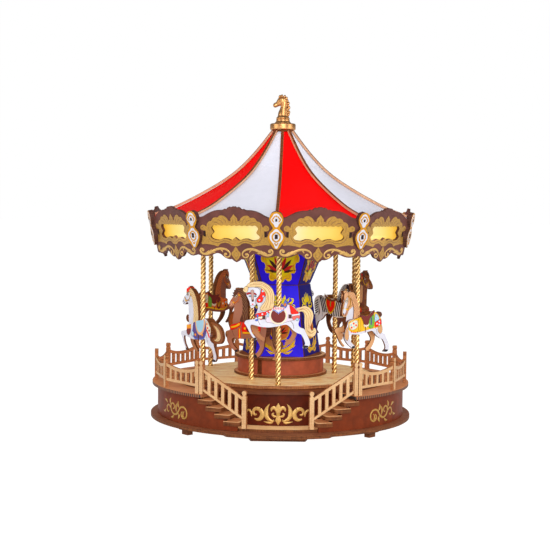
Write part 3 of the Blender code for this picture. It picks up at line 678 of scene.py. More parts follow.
RAIL_HALF = 1.2
POST_HALF = 1.8
POST_WIDTH, KNOB = 4.2, 2.1
POST_ANGLE = 36.8
HEAD_POST_ANGLE = 34.6
POST_TOP = 72.4
FRONT_POST_ANGLE, FRONT_POST_RADIUS, FRONT_POST_TOP = 14.5, 121.0, 47.7
RAIL_TOP, RAIL_DIP, LOW_RAIL = 65.5, 4.0, 48.0
STAIR_RAIL_TOP, STAIR_LOW_RAIL, STAIR_CLIMB = 53.5, 32.8, 25.2
CREASE_HALF, CREASE_LENGTH = 0.12, 6.5
BAYS_A_SIDE = 6
BALUSTERS = 5
BALUSTER_WIDTH, BAY_MARGIN = 3.0, 2.3
TOP_RAIL_WIDTH, LOW_RAIL_WIDTH = 3.0, 2.5
TOOTH_PITCH = 1.5
TOOTH_DEPTH = 0.28


def between(start, end):
    """A face that stands on the line between two plan points and looks to the right of that way."""
    across = (Vector(end) - Vector(start)).normalized()
    middle = (Vector(start) + Vector(end)) / 2
    return on_plane((*across, 0), UP, (across.y, -across.x, 0), (*middle, 0))


def toothed_side(half, low, high):
    """One side of a post from the top down, with the saw's small notches."""
    points = []
    z = high
    while z - TOOTH_PITCH > low:
        points += [(half, z), (half, z - TOOTH_PITCH * 0.6)]
        points += [(half - TOOTH_DEPTH, z - TOOTH_PITCH * 0.64), (half - TOOTH_DEPTH, z - TOOTH_PITCH * 0.96)]
        z -= TOOTH_PITCH
    return points + [(half, low)]


def post_outline(top, base):
    """A flat post with a neck, a round knob and toothed sides."""
    centre = top - KNOB
    half = POST_WIDTH / 2
    points = [(0.0, top)]
    for degrees in range(18, 136, 13):
        angle = math.radians(degrees)
        points.append((KNOB * math.sin(angle), centre + KNOB * math.cos(angle)))
    foot = centre - KNOB
    points += [(1.1, foot + 0.1), (1.4, foot - 0.7), (half - 0.2, foot - 1.2)]
    return mirrored(points + toothed_side(half, base, foot - 1.6))


def bay_loops(length, end_top, dip, low_rail, height_step=0.0):
    """One railing bay: its edge, then the openings between the balusters."""
    half = length / 2
    slope = height_step / length

    def top(x):
        return end_top - dip * (1 - (x / half) ** 2) + slope * x

    def low(x):
        return low_rail + slope * x

    along = [-half + length * i / 16 for i in range(17)]
    loops = [[(x, top(x)) for x in reversed(along)] + [(x, low(x)) for x in along[::4]]]
    opening = (length - 2 * BAY_MARGIN - BALUSTERS * BALUSTER_WIDTH) / (BALUSTERS + 1)
    for index in range(BALUSTERS + 1):
        left = -half + BAY_MARGIN + index * (opening + BALUSTER_WIDTH)
        steps = [left + opening * i / 3 for i in range(4)]
        foot = [(x, low(x) + LOW_RAIL_WIDTH) for x in steps]
        loops.append(foot + [(x, top(x) - TOP_RAIL_WIDTH) for x in reversed(steps)])
    return loops


def add_bay(shape, start, end, loops):
    # The inner face wears the birch with painted shade
    shape.plate(loops, between(start, end), -RAIL_HALF, RAIL_HALF, BIRCH, PALE_EDGE, SHADED_BIRCH)


def add_post(shape, top, base, radius, degrees):
    place = upright(flat_polar(radius, degrees), degrees)
    # The inner face wears the birch with painted shade
    shape.plate([post_outline(top, base)], place, -POST_HALF, POST_HALF, BIRCH, PALE_EDGE, SHADED_BIRCH)
    for height in (base + 4.0, base + 14.0):
        crease = [(0, height, CREASE_HALF), (0, height + CREASE_LENGTH, CREASE_HALF)]
        shape.ribbon(crease, place, POST_HALF - 0.02, 0.06, PALE_EDGE, 1)


def make_railings():
    """Posts and bays from one side of the stairs round the back to the other, and the stair railings."""
    step = (180 - POST_ANGLE) / BAYS_A_SIDE
    angles = [POST_ANGLE + step * i for i in range(2 * BAYS_A_SIDE + 1)]
    shape = Shape()
    for angle in angles:
        add_post(shape, POST_TOP, DECK_TOP + GAP, POST_RADIUS, angle)
    for here, after in zip(angles, angles[1:]):
        start, end = flat_polar(POST_RADIUS, here), flat_polar(POST_RADIUS, after)
        add_bay(shape, start, end, bay_loops(math.dist(start, end), RAIL_TOP, RAIL_DIP, LOW_RAIL))
    shape.finish("deck_railing", "base", "railing_wood")
    for side, label in ((1, "right"), (-1, "left")):
        shape = Shape()
        foot = (FRONT_POST_RADIUS, side * FRONT_POST_ANGLE)
        head = (POST_RADIUS - 0.2, side * HEAD_POST_ANGLE)
        start, end = [flat_polar(*post) for post in (foot, head)[::side]]
        length = math.dist(start, end)
        add_bay(shape, start, end, bay_loops(length, STAIR_RAIL_TOP, 0.0, STAIR_LOW_RAIL, side * STAIR_CLIMB))
        add_post(shape, FRONT_POST_TOP, LANDING_TOP + GAP, *foot)
        add_post(shape, POST_TOP, DECK_TOP + GAP, *head)
        shape.finish("stair_railing_" + label, "base", "railing_wood")


# Turntable, pedestal and poles

OUTER_RING, INNER_RING = 86.0, 54.0
POLE_TURN = 0.7
POLE_PLACES = [(OUTER_RING, 60.0 * i + POLE_TURN) for i in range(6)]
POLE_PLACES += [(INNER_RING, -30.0 + 120.0 * i + POLE_TURN) for i in range(3)]
POLE_HOLE = 2.9
POLE_TWIST = 18.0
POLE_LOBES = 4
POLE_STEP = 0.9
POLE_MIDDLE, POLE_WAVE = 2.2, 0.42


def circle(centre, radius, count=24):
    turns = [2 * math.pi * i / count for i in range(count)]
    return [(centre[0] + radius * math.cos(t), centre[1] + radius * math.sin(t)) for t in turns]


def plank_wood():
    """Boards printed on birch, each its own shade, with long flames of grain along them."""
    look = Look("plank_wood", 0.42)
    mapping = look.add("Mapping", {"Scale": (1000, 1000, 1000), "Vector": look.where})
    inputs = {"Scale": 1.0, "Mortar Size": 0.16, "Mortar Smooth": 0.5, "Brick Width": 46.0, "Row Height": 7.5}
    boards = {"Color1": (232, 176, 112), "Color2": (250, 222, 168), "Mortar": (170, 104, 52)}
    for name, colour in boards.items():
        inputs[name] = (*linear(colour), 1.0)
    bricks = look.add("TexBrick", {**inputs, "Vector": mapping.outputs["Vector"]}).outputs
    flames = look.noise(130, (0.3, 1, 1), 4, 0.6, 2.2)
    streaks = look.ramp(flames, [(0.4, (206, 134, 66)), (0.5, (244, 204, 136)), (0.62, (255, 240, 196))])
    look.bump(bricks["Fac"], 0.3)
    return look.colour(look.mix(0.62, bricks["Color"], streaks))


def make_turntable():
    shape = Shape()
    loops = [arc(TURNTABLE_RADIUS, 0, 358.5)]
    loops += [circle(polar(r, a).xy, POLE_HOLE) for r, a in POLE_PLACES]
    shape.plate(loops, level, TURNTABLE_BOTTOM, TURNTABLE_TOP, plank_wood(), PALE_EDGE)
    shape.finish("turntable", "rotor", "turntable_wood")


SEAM_ANGLE, SEAM_HALF = -26.0, 3.2
PEDESTAL_INNER, PEDESTAL_OUTER = 40.0, 43.0


def pedestal_ring(node, radii, low, high, ease, band, look):
    """A flat ring with a thin band of another colour on its top."""
    shape = Shape()
    shape.turned(ring_profile(*radii, low + GAP, high, ease), EDGE)
    inner, outer = band
    below, above = high - 0.02, high + 0.03
    shape.turned([(inner, below), (outer, below), (outer, above), (inner, above), (inner, below)], look)
    shape.finish(node, "rotor", "pedestal_paint", 40)


def make_pedestal():
    """A bent wall between two rings, open at its seam with a dark batten behind that, which is painted shade
    for the inside.
    """
    pedestal_ring("pedestal_foot", (34, 46.5), TURNTABLE_TOP, FOOT_TOP, 0.4, (42.8, 45.9), DECK_STAIN)
    shape = Shape()
    low = FOOT_TOP + GAP
    angles = [SEAM_ANGLE + SEAM_HALF + (360 - 2 * SEAM_HALF) * i / 180 for i in range(181)]
    shape.bent_wall(PEDESTAL_INNER, PEDESTAL_OUTER, low, WALL_TOP, angles, PEDESTAL_PAINT, EDGE)
    # Painted shade: a dark batten behind the seam stands for the dark inside
    angles = [SEAM_ANGLE + SEAM_HALF * 1.3 * i / 4 for i in range(-4, 5)]
    inner, outer = PEDESTAL_INNER - 1.4, PEDESTAL_INNER - 0.2
    shape.bent_wall(inner, outer, low, WALL_TOP, angles, DARK_STAIN, DARK_STAIN)
    shape.finish("pedestal_wall", "rotor", "pedestal_paint", 30)
    # Painted highlight: the rim's pale birch band is the light along its top edge
    pedestal_ring("pedestal_rim", (24, 45.3), WALL_TOP, RIM_TOP, 0.5, (41.5, 44.8), BIRCH)


def make_poles():
    """Barley-sugar twisted rods, as high as the CAD's straight ones."""
    for index, (ring, degrees) in enumerate(POLE_PLACES):
        node = f"pole_{index + 1}"
        low, high = (corner[2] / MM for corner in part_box(node))
        centre = polar(ring, degrees)
        shape = Shape()
        count = int((high - low) / POLE_STEP)
        rows = []
        for step in range(count + 1):
            z = low + (high - low) * step / count
            twist = 2 * math.pi * (z - low) / POLE_TWIST
            row = []
            for side in range(24):
                turn = 2 * math.pi * side / 24
                radius = POLE_MIDDLE + POLE_WAVE * math.cos(POLE_LOBES * (turn - twist))
                row.append(centre + Vector((radius * math.cos(turn), radius * math.sin(turn), z)))
            rows.append(row)
        verts = shape.grid(rows, ROD_GOLD, False, True)
        # Painted shade: faces deep in the grooves take the darker gold
        for face in shape.work.faces:
            spot = face.calc_center_median() - centre
            if math.hypot(spot.x, spot.y) < POLE_MIDDLE - POLE_WAVE * 0.35:
                face.material_index = shape.index(ROD_GROOVE_SHADE)
        shape.caps(verts, ROD_GOLD)
        shape.finish(node, f"mount_{index + 1}", "pole_plating", 70)


# Roof

ROOF_PROFILE = [
    (9.6, 288.6), (22, 272.8), (33.5, 259.9), (45, 249.0), (58, 239.3), (74, 229.6), (90, 220.9),
    (108, 212.2), (129.0, 204.75),
]
ROOF_SKIN = 1.2
ROOF_STEPS = 5
RIB_HALF = 1.4
RIB_RISE = 2.4
RIB_FOOT = (127.6, 205.25)
RIB_COLLAR = [(5.0, 289.0), (10.2, 289.0), (10.6, 289.4), (10.6, 290.2), (5.0, 290.2)]


def offset_line(points, distance):
    """The points moved square to their line, outwards and upwards."""
    result = []
    for index, (r, z) in enumerate(points):
        run = run_at(points, index)
        size = math.hypot(*run)
        result.append((r - run[1] / size * distance, z + run[0] / size * distance))
    return result


def make_roof():
    """Ten smoothly curved panels, red and white by turns, and the ribs over their joints."""
    outside = smoothed(ROOF_PROFILE, ROOF_STEPS)
    section = outside + list(reversed(offset_line(outside, -ROOF_SKIN)))
    shape = Shape()
    for index in range(SIDES):
        rows = [[polar(r, PANEL * (index + side), z) for side in (0, 1)] for r, z in section]
        shape.grid(rows, ROOF_WHITE if index % 2 else ROOF_RED, True)
    shape.done("roof_panels", "rotor", "roof_paint", "roof_shell", sharp=25)
    shape = Shape()
    spine = smoothed(ROOF_PROFILE[:-1] + [RIB_FOOT], ROOF_STEPS)
    outline = offset_line(spine, GAP + 0.05) + list(reversed(offset_line(spine, RIB_RISE)))
    for index in range(SIDES):
        place = on_plane(polar(1.0, PANEL * index), UP, polar(1.0, PANEL * index + 90))
        shape.plate([outline], place, -RIB_HALF, RIB_HALF, RIB_SIDE, EDGE)
    shape.turned(RIB_COLLAR + RIB_COLLAR[:1], EDGE)
    shape.finish("roof_ribs", "rotor", "rib_wood")


CAP_RADIUS, CAP_ROUND = 12.7, 1.3


def make_cap():
    """The gold drum under the finial, with rounded edges."""
    reach = CAP_RADIUS - CAP_ROUND
    profile = [(0, CAP_BOTTOM)]
    for middle, first in ((CAP_BOTTOM + CAP_ROUND, -90), (CAP_TOP - CAP_ROUND, 0)):
        for degrees in range(first, first + 91, 15):
            angle = math.radians(degrees)
            profile.append((reach + CAP_ROUND * math.cos(angle), middle + CAP_ROUND * math.sin(angle)))
    profile.append((0, CAP_TOP))
    shape = Shape()
    shape.turned(profile, PLATED, 96)
    shape.finish("cap", "rotor", "gold_plating", 40)


FINIAL_BASE = [
    (0, 0.02), (8.3, 0.02), (8.2, 0.6), (7.1, 1.5), (6.6, 2.6), (6.9, 3.1), (6.8, 3.7), (6.2, 4.1),
    (6.7, 4.6), (6.7, 5.4), (6.0, 6.0), (5.5, 6.7), (5.2, 7.6), (0, 7.6),
]

# Across, height, half width and half depth along each limb of the finial's horse
FINIAL_NECK = [
    (0.4, 6.6, 5.2, 4.4), (0.3, 9.4, 5.2, 4.0), (0.6, 12.4, 4.4, 3.5), (0.9, 15.6, 3.5, 3.0),
    (1.2, 18.8, 3.4, 2.8), (1.4, 21.8, 3.4, 2.7), (1.0, 24.4, 2.8, 2.3), (0.4, 26.2, 1.2, 1.2),
]
FINIAL_FACE = [
    (2.4, 23.4, 1.8, 1.8), (0.4, 22.8, 4.3, 2.9), (-2.0, 21.7, 4.3, 2.8), (-4.2, 20.0, 3.2, 2.2),
    (-6.0, 18.8, 2.4, 1.8), (-7.6, 18.0, 2.4, 1.8), (-8.9, 17.5, 2.0, 1.6), (-9.9, 17.2, 0.6, 0.7),
]
FINIAL_LOCKS = [
    (-3.4, 26.4, 1.5), (-1.2, 27.0, 1.4), (1.4, 26.4, 1.6), (3.2, 24.6, 1.7), (4.0, 22.0, 1.7),
    (5.2, 19.6, 1.7), (5.0, 17.2, 1.5), (5.8, 15.2, 1.7), (4.8, 13.0, 1.4), (5.8, 10.8, 1.7),
    (5.4, 8.4, 1.6),
]

# Place, radii and tilt of the ears, eyes, nostrils and side curls of one side
FINIAL_KNOBS = [
    ((-1.5, 1.5, 26.9), (0.8, 0.6, 1.5), -20),
    ((-2.6, 2.4, 23.2), (0.75, 0.5, 0.6), 0),
    ((-8.9, 1.35, 18.2), (0.45, 0.35, 0.4), 0),
]
FINIAL_CURLS = [(2.2, 22.4), (3.0, 19.8), (3.4, 17.0), (4.0, 13.8), (4.2, 10.6)]
FINIAL_KNOBS += [((x, 2.3, z), (0.8, 0.7, 1.5), 35) for x, z in FINIAL_CURLS]


def add_limb(shape, spine, foot, look):
    """A rounded limb in the plane that faces the front, swept through oval sections."""
    line = smoothed(spine, 4)
    rows = []
    for index, (x, z, half, depth) in enumerate(line):
        run = Vector(run_at(line, index)).normalized()
        row = []
        for side in range(24):
            turn = 2 * math.pi * side / 24
            across = half * math.cos(turn)
            row.append(Vector((x - run.y * across, depth * math.sin(turn), foot + z + run.x * across)))
        rows.append(row)
    shape.caps(shape.grid(rows, look, False, True), look)


def add_ball(shape, centre, radii, look, turn):
    """An oval ball, tilted about the axis that faces the front."""
    tilt = Matrix.Rotation(math.radians(turn), 3, "Y")
    rows = []
    for i in range(9):
        rise = math.pi * (i / 8 - 0.5) * 0.98
        row = []
        for j in range(16):
            spin = 2 * math.pi * j / 16
            unit = Vector((math.cos(rise) * math.cos(spin), math.cos(rise) * math.sin(spin), math.sin(rise)))
            row.append(Vector(centre) + tilt @ Vector([a * b for a, b in zip(unit, radii)]))
        rows.append(row)
    shape.caps(shape.grid(rows, look, False, True), look)


def make_finial():
    """A horse's head with a curled mane, cast round, on a turned base."""
    shape = Shape()
    foot = CAP_TOP + GAP
    shape.turned([(r, foot + z) for r, z in FINIAL_BASE], PLATED, 64)
    add_limb(shape, FINIAL_NECK, foot, PLATED)
    add_limb(shape, FINIAL_FACE, foot, PLATED)
    for index, (x, z, size) in enumerate(FINIAL_LOCKS):
        for side in (1, -1):
            depth = side * (0.9 + 0.5 * (index % 2))
            add_ball(shape, (x, depth, foot + z), (size * 0.75, size * 0.8, size * 1.1), PLATED, 25)
    for side in (1, -1):
        for (x, depth, z), radii, tilt in FINIAL_KNOBS:
            add_ball(shape, (x, side * depth, foot + z), radii, PLATED, tilt)
    shape.finish("finial", "rotor", "gold_plating", 60)


# Fascia

FASCIA_LOW, FASCIA_HIGH = (168.0, 124.5), (209.0, 133.0)
FASCIA_SHEET = 2.6
FLAT = math.cos(math.pi / SIDES)
FASCIA_RUN = (FASCIA_HIGH[1] - FASCIA_LOW[1]) / (FASCIA_HIGH[0] - FASCIA_LOW[0])
ORNAMENT_REACH = FASCIA_LOW[1] * (1 - FLAT)
ORNAMENT_BACK, ORNAMENT_FRONT = -2.4, 2.2
INK = 0.3


def fascia_radius(height):
    """Distance from the axis to a corner of the outer face."""
    return FASCIA_LOW[1] + FASCIA_RUN * (height - FASCIA_LOW[0])


def on_fascia(degrees, reach=0.0):
    return leaning(degrees, FASCIA_RUN * FLAT, lambda height: fascia_radius(height) * FLAT + reach)


PANEL_FOOT = [
    (0, 163.6), (2.5, 164.8), (4.6, 166.4), (6.7, 166.2), (10.1, 167.2), (12.6, 168.8), (15.2, 170.9),
    (18.5, 171.6), (21.9, 170.6), (25.5, 169.2), (29.5, 168.6), (33.5, 168.9), (37.0, 169.8),
]
PANEL_CREST = [
    (33.8, 203.9), (29.6, 205.4), (25.5, 207.6), (21, 209.4), (16.5, 210.3), (11.6, 210.6), (9.4, 211.6),
    (7.6, 211.2), (6.2, 212.4), (4.6, 213.4), (2.8, 212.9), (1.6, 213.7), (0, 213.6),
]
CORNER_FOOT, CORNER_CREST = 170.2, 203.2

WINDOW_TOP = [(2.5 * i, 197.2 - 0.55 * (i % 2)) for i in range(9)]
WINDOW_SIDE = [(22.3, 195.4), (22.6, 193.8), (20.8, 190.7), (22.6, 188.8), (24.0, 187.0), (22.8, 185.2)]
WINDOW_FOOT = [
    (20.9, 184.2), (16.2, 183.5), (11.9, 185.0), (6.8, 184.6), (3.9, 183.5), (1.8, 184.9), (0, 186.2),
]

FRAME_TOP = [
    (0, 207.1), (1.6, 205.2), (3.4, 203.0), (3.2, 201.4), (5.2, 201.1), (6.6, 203.2), (9.0, 205.2),
    (11.8, 206.0), (14.1, 205.6), (16.0, 204.0), (18.5, 204.2), (20.9, 203.0), (22.2, 201.0), (24.6, 200.4),
    (26.6, 198.2), (27.4, 195.7), (29.2, 197.0), (31.4, 197.3), (33.3, 195.6), (33.0, 193.2), (31.2, 192.3),
    (28.4, 192.1),
]
FRAME_FOOT = [
    (28.4, 186.3), (31.4, 187.6), (32.4, 183.6), (33.2, 179.7), (29.0, 180.0), (24.3, 179.4), (20.5, 178.8),
    (17.2, 178.0), (14.9, 180.2), (10.2, 181.3), (6.1, 180.5), (3.8, 178.9), (0, 178.2),
]

FRAME_LINES = [
    [(27, 189.5, 0.2), (25.4, 185.2, 0.3), (22.4, 182.2, 0.35), (17, 181.4, 0.35), (11.5, 183.1, 0.35)],
    [(11.5, 183.1, 0.35), (7, 182.5, 0.35), (4.2, 180.9, 0.3), (1.2, 180.6, 0.15)],
    [(25.6, 198, 0.15), (25, 194.5, 0.3), (24.8, 191.5, 0.15)],
    [(7.6, 198.6, 0.2), (8.4, 201.2, 0.35), (11.4, 204.2, 0.15)],
    [(10.6, 198.4, 0.2), (12.6, 200.8, 0.35), (16.2, 202.4, 0.15)],
    [(14.8, 198.2, 0.2), (17.4, 199.8, 0.35), (21.4, 200.0, 0.15)],
    [(2.2, 198.4, 0.2), (1.5, 201, 0.3), (1.2, 203.6, 0.1)],
    [(30.3, 195.6, 0.2), (31.8, 195.0, 0.3), (31.0, 193.9, 0.2)],
    [(4.4, 199.3, 0.15), (5.6, 200.4, 0.25), (6.4, 201.6, 0.1)],
]

GARLAND = [
    (32.0, 174.6, 0.5), (33.0, 175.8, 0.6), (34.6, 175.4, 0.75), (35.3, 173.6, 0.85), (34.3, 171.8, 0.95),
    (31.6, 170.7, 1.1), (28.0, 170.9, 1.15), (24.6, 172.3, 1.2), (21.5, 174.1, 1.2), (18.0, 175.4, 1.15),
    (14.6, 175.9, 1.05), (11.2, 175.6, 0.95), (8.4, 174.4, 0.85), (6.6, 172.8, 0.7), (6.0, 171.0, 0.65),
    (6.6, 169.2, 0.65), (8.6, 168.2, 0.7), (10.8, 168.8, 0.65), (11.6, 170.6, 0.6), (10.4, 171.9, 0.55),
]
GARLAND_BALLS = [((32.5, 174.4), 1.45), ((9.8, 171.2), 1.1)]
SPURS = [
    [(27.2, 171.9, 0.3), (25.0, 173.6, 0.75), (23.6, 175.0, 0.05)],
    [(30.0, 171.6, 0.3), (27.6, 172.8, 0.7), (26.6, 174.2, 0.05)],
    [(24.0, 172.6, 0.3), (21.8, 172.0, 0.6), (19.8, 172.6, 0.05)],
    [(15.6, 175.4, 0.3), (13.6, 173.8, 0.6), (12.8, 172.4, 0.05)],
]
DROP = [
    (0, 178.0), (1.6, 176.0), (2.6, 174.0), (4.2, 172.6), (4.5, 170.6), (3.0, 168.2), (1.2, 166.2),
    (0, 164.9),
]
DROP_RING = [(0, 174.2), (1.7, 172.8), (2.2, 170.9), (1.2, 168.6), (0, 167.6)]

ORNAMENT = [
    (0, 210.2), (4.2, 208.6), (6.3, 204), (5.4, 199.5), (3.2, 195.5), (6.2, 191.6), (7.5, 187),
    (5.6, 181.8), (2.2, 177.4), (0, 176.6),
]
UPPER_WHITE = [
    (0, 208.6), (2.2, 207.8), (3.4, 205.8), (4.9, 203.6), (4.4, 201.4), (2.4, 199.2), (1.3, 197.0),
    (0, 196.4),
]
LOWER_WHITE = [
    (0, 194.8), (1.6, 194.2), (3.2, 192.2), (5.4, 190.2), (5.8, 187.0), (4.8, 184.4), (2.8, 182.0),
    (1.7, 179.6), (1.1, 177.9), (0, 177.4),
]
UPPER_RING = [(1.2, 206.2, 0.5), (2.4, 204.6, 0.6), (3.6, 203.0, 0.7), (2.2, 200.9, 0.5)]
LOWER_RING = [
    (0, 192.0, 0.65), (2.1, 190.8, 0.75), (3.5, 188.4, 0.75), (3.0, 185.6, 0.75), (1.4, 183.9, 0.7),
    (0, 183.4, 0.65),
]
FOOT_TICK = [(0, 180.0, 0.6), (0.8, 181.3, 0.6), (1.6, 182.5, 0.5)]


def ink(shape, place, base, path, look, lift=0.22):
    """A stroke, with its mirror image unless it lies on the vertical axis."""
    shape.ribbon(path, place, base, lift, look)
    if any(point[0] for point in path):
        shape.ribbon(mirror(path), place, base, lift, look)


def make_fascia():
    """Ten leaning panels with windows, and the printed gold on them."""
    panels, gilding = Shape(), Shape()
    narrow = math.sin(math.pi / SIDES)
    foot, crest = [(fascia_radius(v) * narrow - 0.02, v) for v in (CORNER_FOOT, CORNER_CREST)]
    half = smoothed(PANEL_FOOT + [foot], 3) + smoothed([crest] + PANEL_CREST, 3)
    edge = half + mirror(reversed(half[1:-1]))
    window = whole(WINDOW_TOP + WINDOW_SIDE + WINDOW_FOOT, 2)
    frame_edge = mirrored(smoothed(FRAME_TOP, 3) + smoothed(FRAME_FOOT, 3))
    slot = [(28.7, 186.8), (30.7, 186.8), (30.7, 191.6), (28.7, 191.6)]
    for index in range(SIDES):
        place = on_fascia(PANEL * (index + 0.5))
        panels.plate([edge, window], place, -FASCIA_SHEET, 0.0, FASCIA_PAINT, FASCIA_EDGE)
        gilding.plate([frame_edge, window], place, 0.0, INK, GOLD_INK, SHADE_INK)
        # Painted shade: the slots are dark plates, not openings
        for side in (slot, mirror(slot)):
            gilding.plate([side], place, 0.0, INK * 1.3, SLOT_DARK, SLOT_DARK)
        for path in FRAME_LINES:
            ink(gilding, place, INK - 0.03, path, SHADE_INK, 0.16)
        for path in [GARLAND] + SPURS:
            ink(gilding, place, -0.02, path, PALE_GOLD_INK, 0.34)
        for (u, v), radius in GARLAND_BALLS:
            for side in (1, -1):
                gilding.plate([circle((side * u, v), radius, 14)], place, 0.0, 0.36, PALE_GOLD_INK, SHADE_INK)
        gilding.plate([whole(DROP, 3)], place, 0.0, INK, GOLD_INK, SHADE_INK)
        gilding.ribbon(mirrored([(u, v, 0.25) for u, v in DROP_RING]), place, INK - 0.03, 0.2, SHADE_INK)
    panels.done("fascia_panels", "rotor", "fascia_paint", "fascia")
    gilding.done("fascia_gilding", "rotor", "fascia_paint")


def make_ornaments():
    """Two-lobed amber plates over the corners, with white lobes that wear amber rings and dark squares."""
    shape = Shape()
    outline = whole(ORNAMENT, 4)
    lobes = [whole(half, 4) for half in (UPPER_WHITE, LOWER_WHITE)]
    top = ORNAMENT_FRONT + INK
    for index in range(SIDES):
        place = on_fascia(PANEL * index, ORNAMENT_REACH)
        shape.plate([outline], place, ORNAMENT_BACK, ORNAMENT_FRONT, AMBER_INK, FASCIA_EDGE)
        for lobe in lobes:
            shape.plate([lobe], place, ORNAMENT_FRONT - 0.02, top, WHITE_INK, WHITE_INK)
        for path in (UPPER_RING, LOWER_RING, FOOT_TICK):
            ink(shape, place, top - 0.03, path, AMBER_INK, 0.25)
        # Painted shade: dark squares stand for the ornament's slots
        for low, high, half in ((201.5, 203.9, 0.85), (186.0, 190.0, 1.35)):
            square = [(-half, low), (half, low), (half, high), (-half, high)]
            shape.plate([square], place, top, top + 0.3, SLOT_DARK, SLOT_DARK)
        shape.plate([circle((0, 206.2), 0.8, 12)], place, top, top + 0.25, AMBER_INK, AMBER_INK)
    shape.done("fascia_ornaments", "rotor", "fascia_paint")


def window_glow():
    """Frosted sheet lit from inside: cream where its lamp is near, and amber at the far end."""
    look = Look("window_glow", 0.5)
    near = look.nodes.new("ShaderNodeAttribute")
    near.attribute_name = "lamp"
    blend = look.calculate("MULTIPLY_ADD", look.noise(45, (1, 1, 1), 2), 0.22, near.outputs["Fac"])
    stops = [(0.12, (252, 170, 36)), (0.42, (255, 208, 70)), (0.72, (255, 230, 132)), (1.0, (255, 242, 206))]
    inputs = {"Base Color": (0.25, 0.17, 0.06, 1.0), "Emission Color": look.ramp(blend, stops)}
    look.fill(look.shader, {**inputs, "Emission Strength": 0.82})
    return look.material


def make_window_band():
    """The lit band behind the windows, with a value at each point for how near its lamp is."""
    low, high, wall, columns = CEILING_TOP + GAP, 202.0, 1.2, 8
    foot = fascia_radius(CEILING_TOP) - FASCIA_SHEET / FLAT - 2.2
    head = foot + FASCIA_RUN * (high - low)
    shape = Shape()
    glow = window_glow()
    section = [(foot, low), (head, high), (head - wall, high), (foot - wall, low)]
    lamp = shape.work.verts.layers.float.new("lamp")
    rows = []
    shares = []
    for index in range(SIDES):
        middle = (PANEL * (index + 0.5) + 180) % 360 - 180
        ends = [(polar(r, PANEL * index, z), polar(r, PANEL * (index + 1), z)) for r, z in section]
        for column in range(columns):
            share = column / columns
            rows.append([start.lerp(end, share) for start, end in ends])
            shares.append(share if middle < 0 else 1 - share)
    verts = shape.grid(rows, glow, True, True, False)
    for row, share in zip(verts, shares):
        for vert in row:
            vert[lamp] = share
    shape.done("window_light", "rotor", "window_diffuser", "window_band")


# Column

COLUMN_SIDES = 5
COLUMN_FLAT = math.cos(math.pi / COLUMN_SIDES)
COLUMN_LOW = RIM_TOP + GAP
PANEL_SKIN = 0.5


def column_face(degrees, foot, head):
    """Maps (across, height, out) to one flat face between two (height, corner radius) ends."""
    run = (head[1] - foot[1]) / (head[0] - foot[0]) * COLUMN_FLAT
    return leaning(degrees, run, lambda height: foot[1] * COLUMN_FLAT + run * (height - foot[0]))


def column_half_width(foot, head, height):
    radius = foot[1] + (head[1] - foot[1]) * (height - foot[0]) / (head[0] - foot[0])
    return radius * math.sin(math.pi / COLUMN_SIDES)


def panel_loop(foot, head, margin, low, high):
    """The flat face's outline, set in from its edges."""
    wide_low = column_half_width(foot, head, low) - margin
    wide_high = column_half_width(foot, head, high) - margin
    return [(-wide_low, low), (wide_low, low), (wide_high, high), (-wide_high, high)]


SHIELD = [
    (0, 140.2), (3.0, 141.4), (4.6, 144.2), (7.2, 142.1), (10.2, 143.0), (11.2, 146.8), (10.6, 149.8),
    (13.8, 150.1), (15.2, 153.1), (14.6, 156.9), (15.6, 160.1), (18.2, 161.5), (18.8, 165.3), (17.6, 168.8),
    (20.0, 170.4), (19.4, 173.7), (15.0, 173.0), (10.0, 174.2), (5.0, 173.2), (0, 174.4),
]
FIELD = [
    (0, 146.1), (5.4, 147.7), (9.0, 151.7), (11.2, 157.6), (13.6, 163.6), (14.0, 169.3), (7.0, 170.7),
    (0, 170.0),
]
SHIELD_LINES = [
    [(3.2, 143.0, 0.2), (6.4, 145.2, 0.45), (8.8, 144.7, 0.3), (8.9, 147.7, 0.2)],
    [(10.8, 152.4, 0.2), (13.0, 152.6, 0.45), (12.8, 156.1, 0.3), (13.4, 159.4, 0.15)],
    [(15.4, 162.7, 0.2), (16.8, 164.6, 0.45), (15.6, 167.8, 0.3), (16.4, 170.9, 0.15)],
]
SUNBURST_RAYS = 9


def add_sunburst(shape, place, centre, radius, base):
    """A fan of petals by turns red and dark, with a gold boss."""
    u, v = centre
    for index in range(SUNBURST_RAYS):
        turn = math.radians(-80 + 160 * index / (SUNBURST_RAYS - 1))
        tip = (u + radius * math.sin(turn), v + radius * math.cos(turn))
        middle = (u + radius * 0.6 * math.sin(turn), v + radius * 0.6 * math.cos(turn))
        path = [(u, v, 0.2), (*middle, radius * 0.1), (*tip, 0.05)]
        shape.ribbon(path, place, base, 0.3, COLUMN_RED if index % 2 else COLUMN_NIGHT)
    shape.plate([circle(centre, radius * 0.24, 20)], place, base, base + 0.45, YELLOW_INK, AMBER_INK)


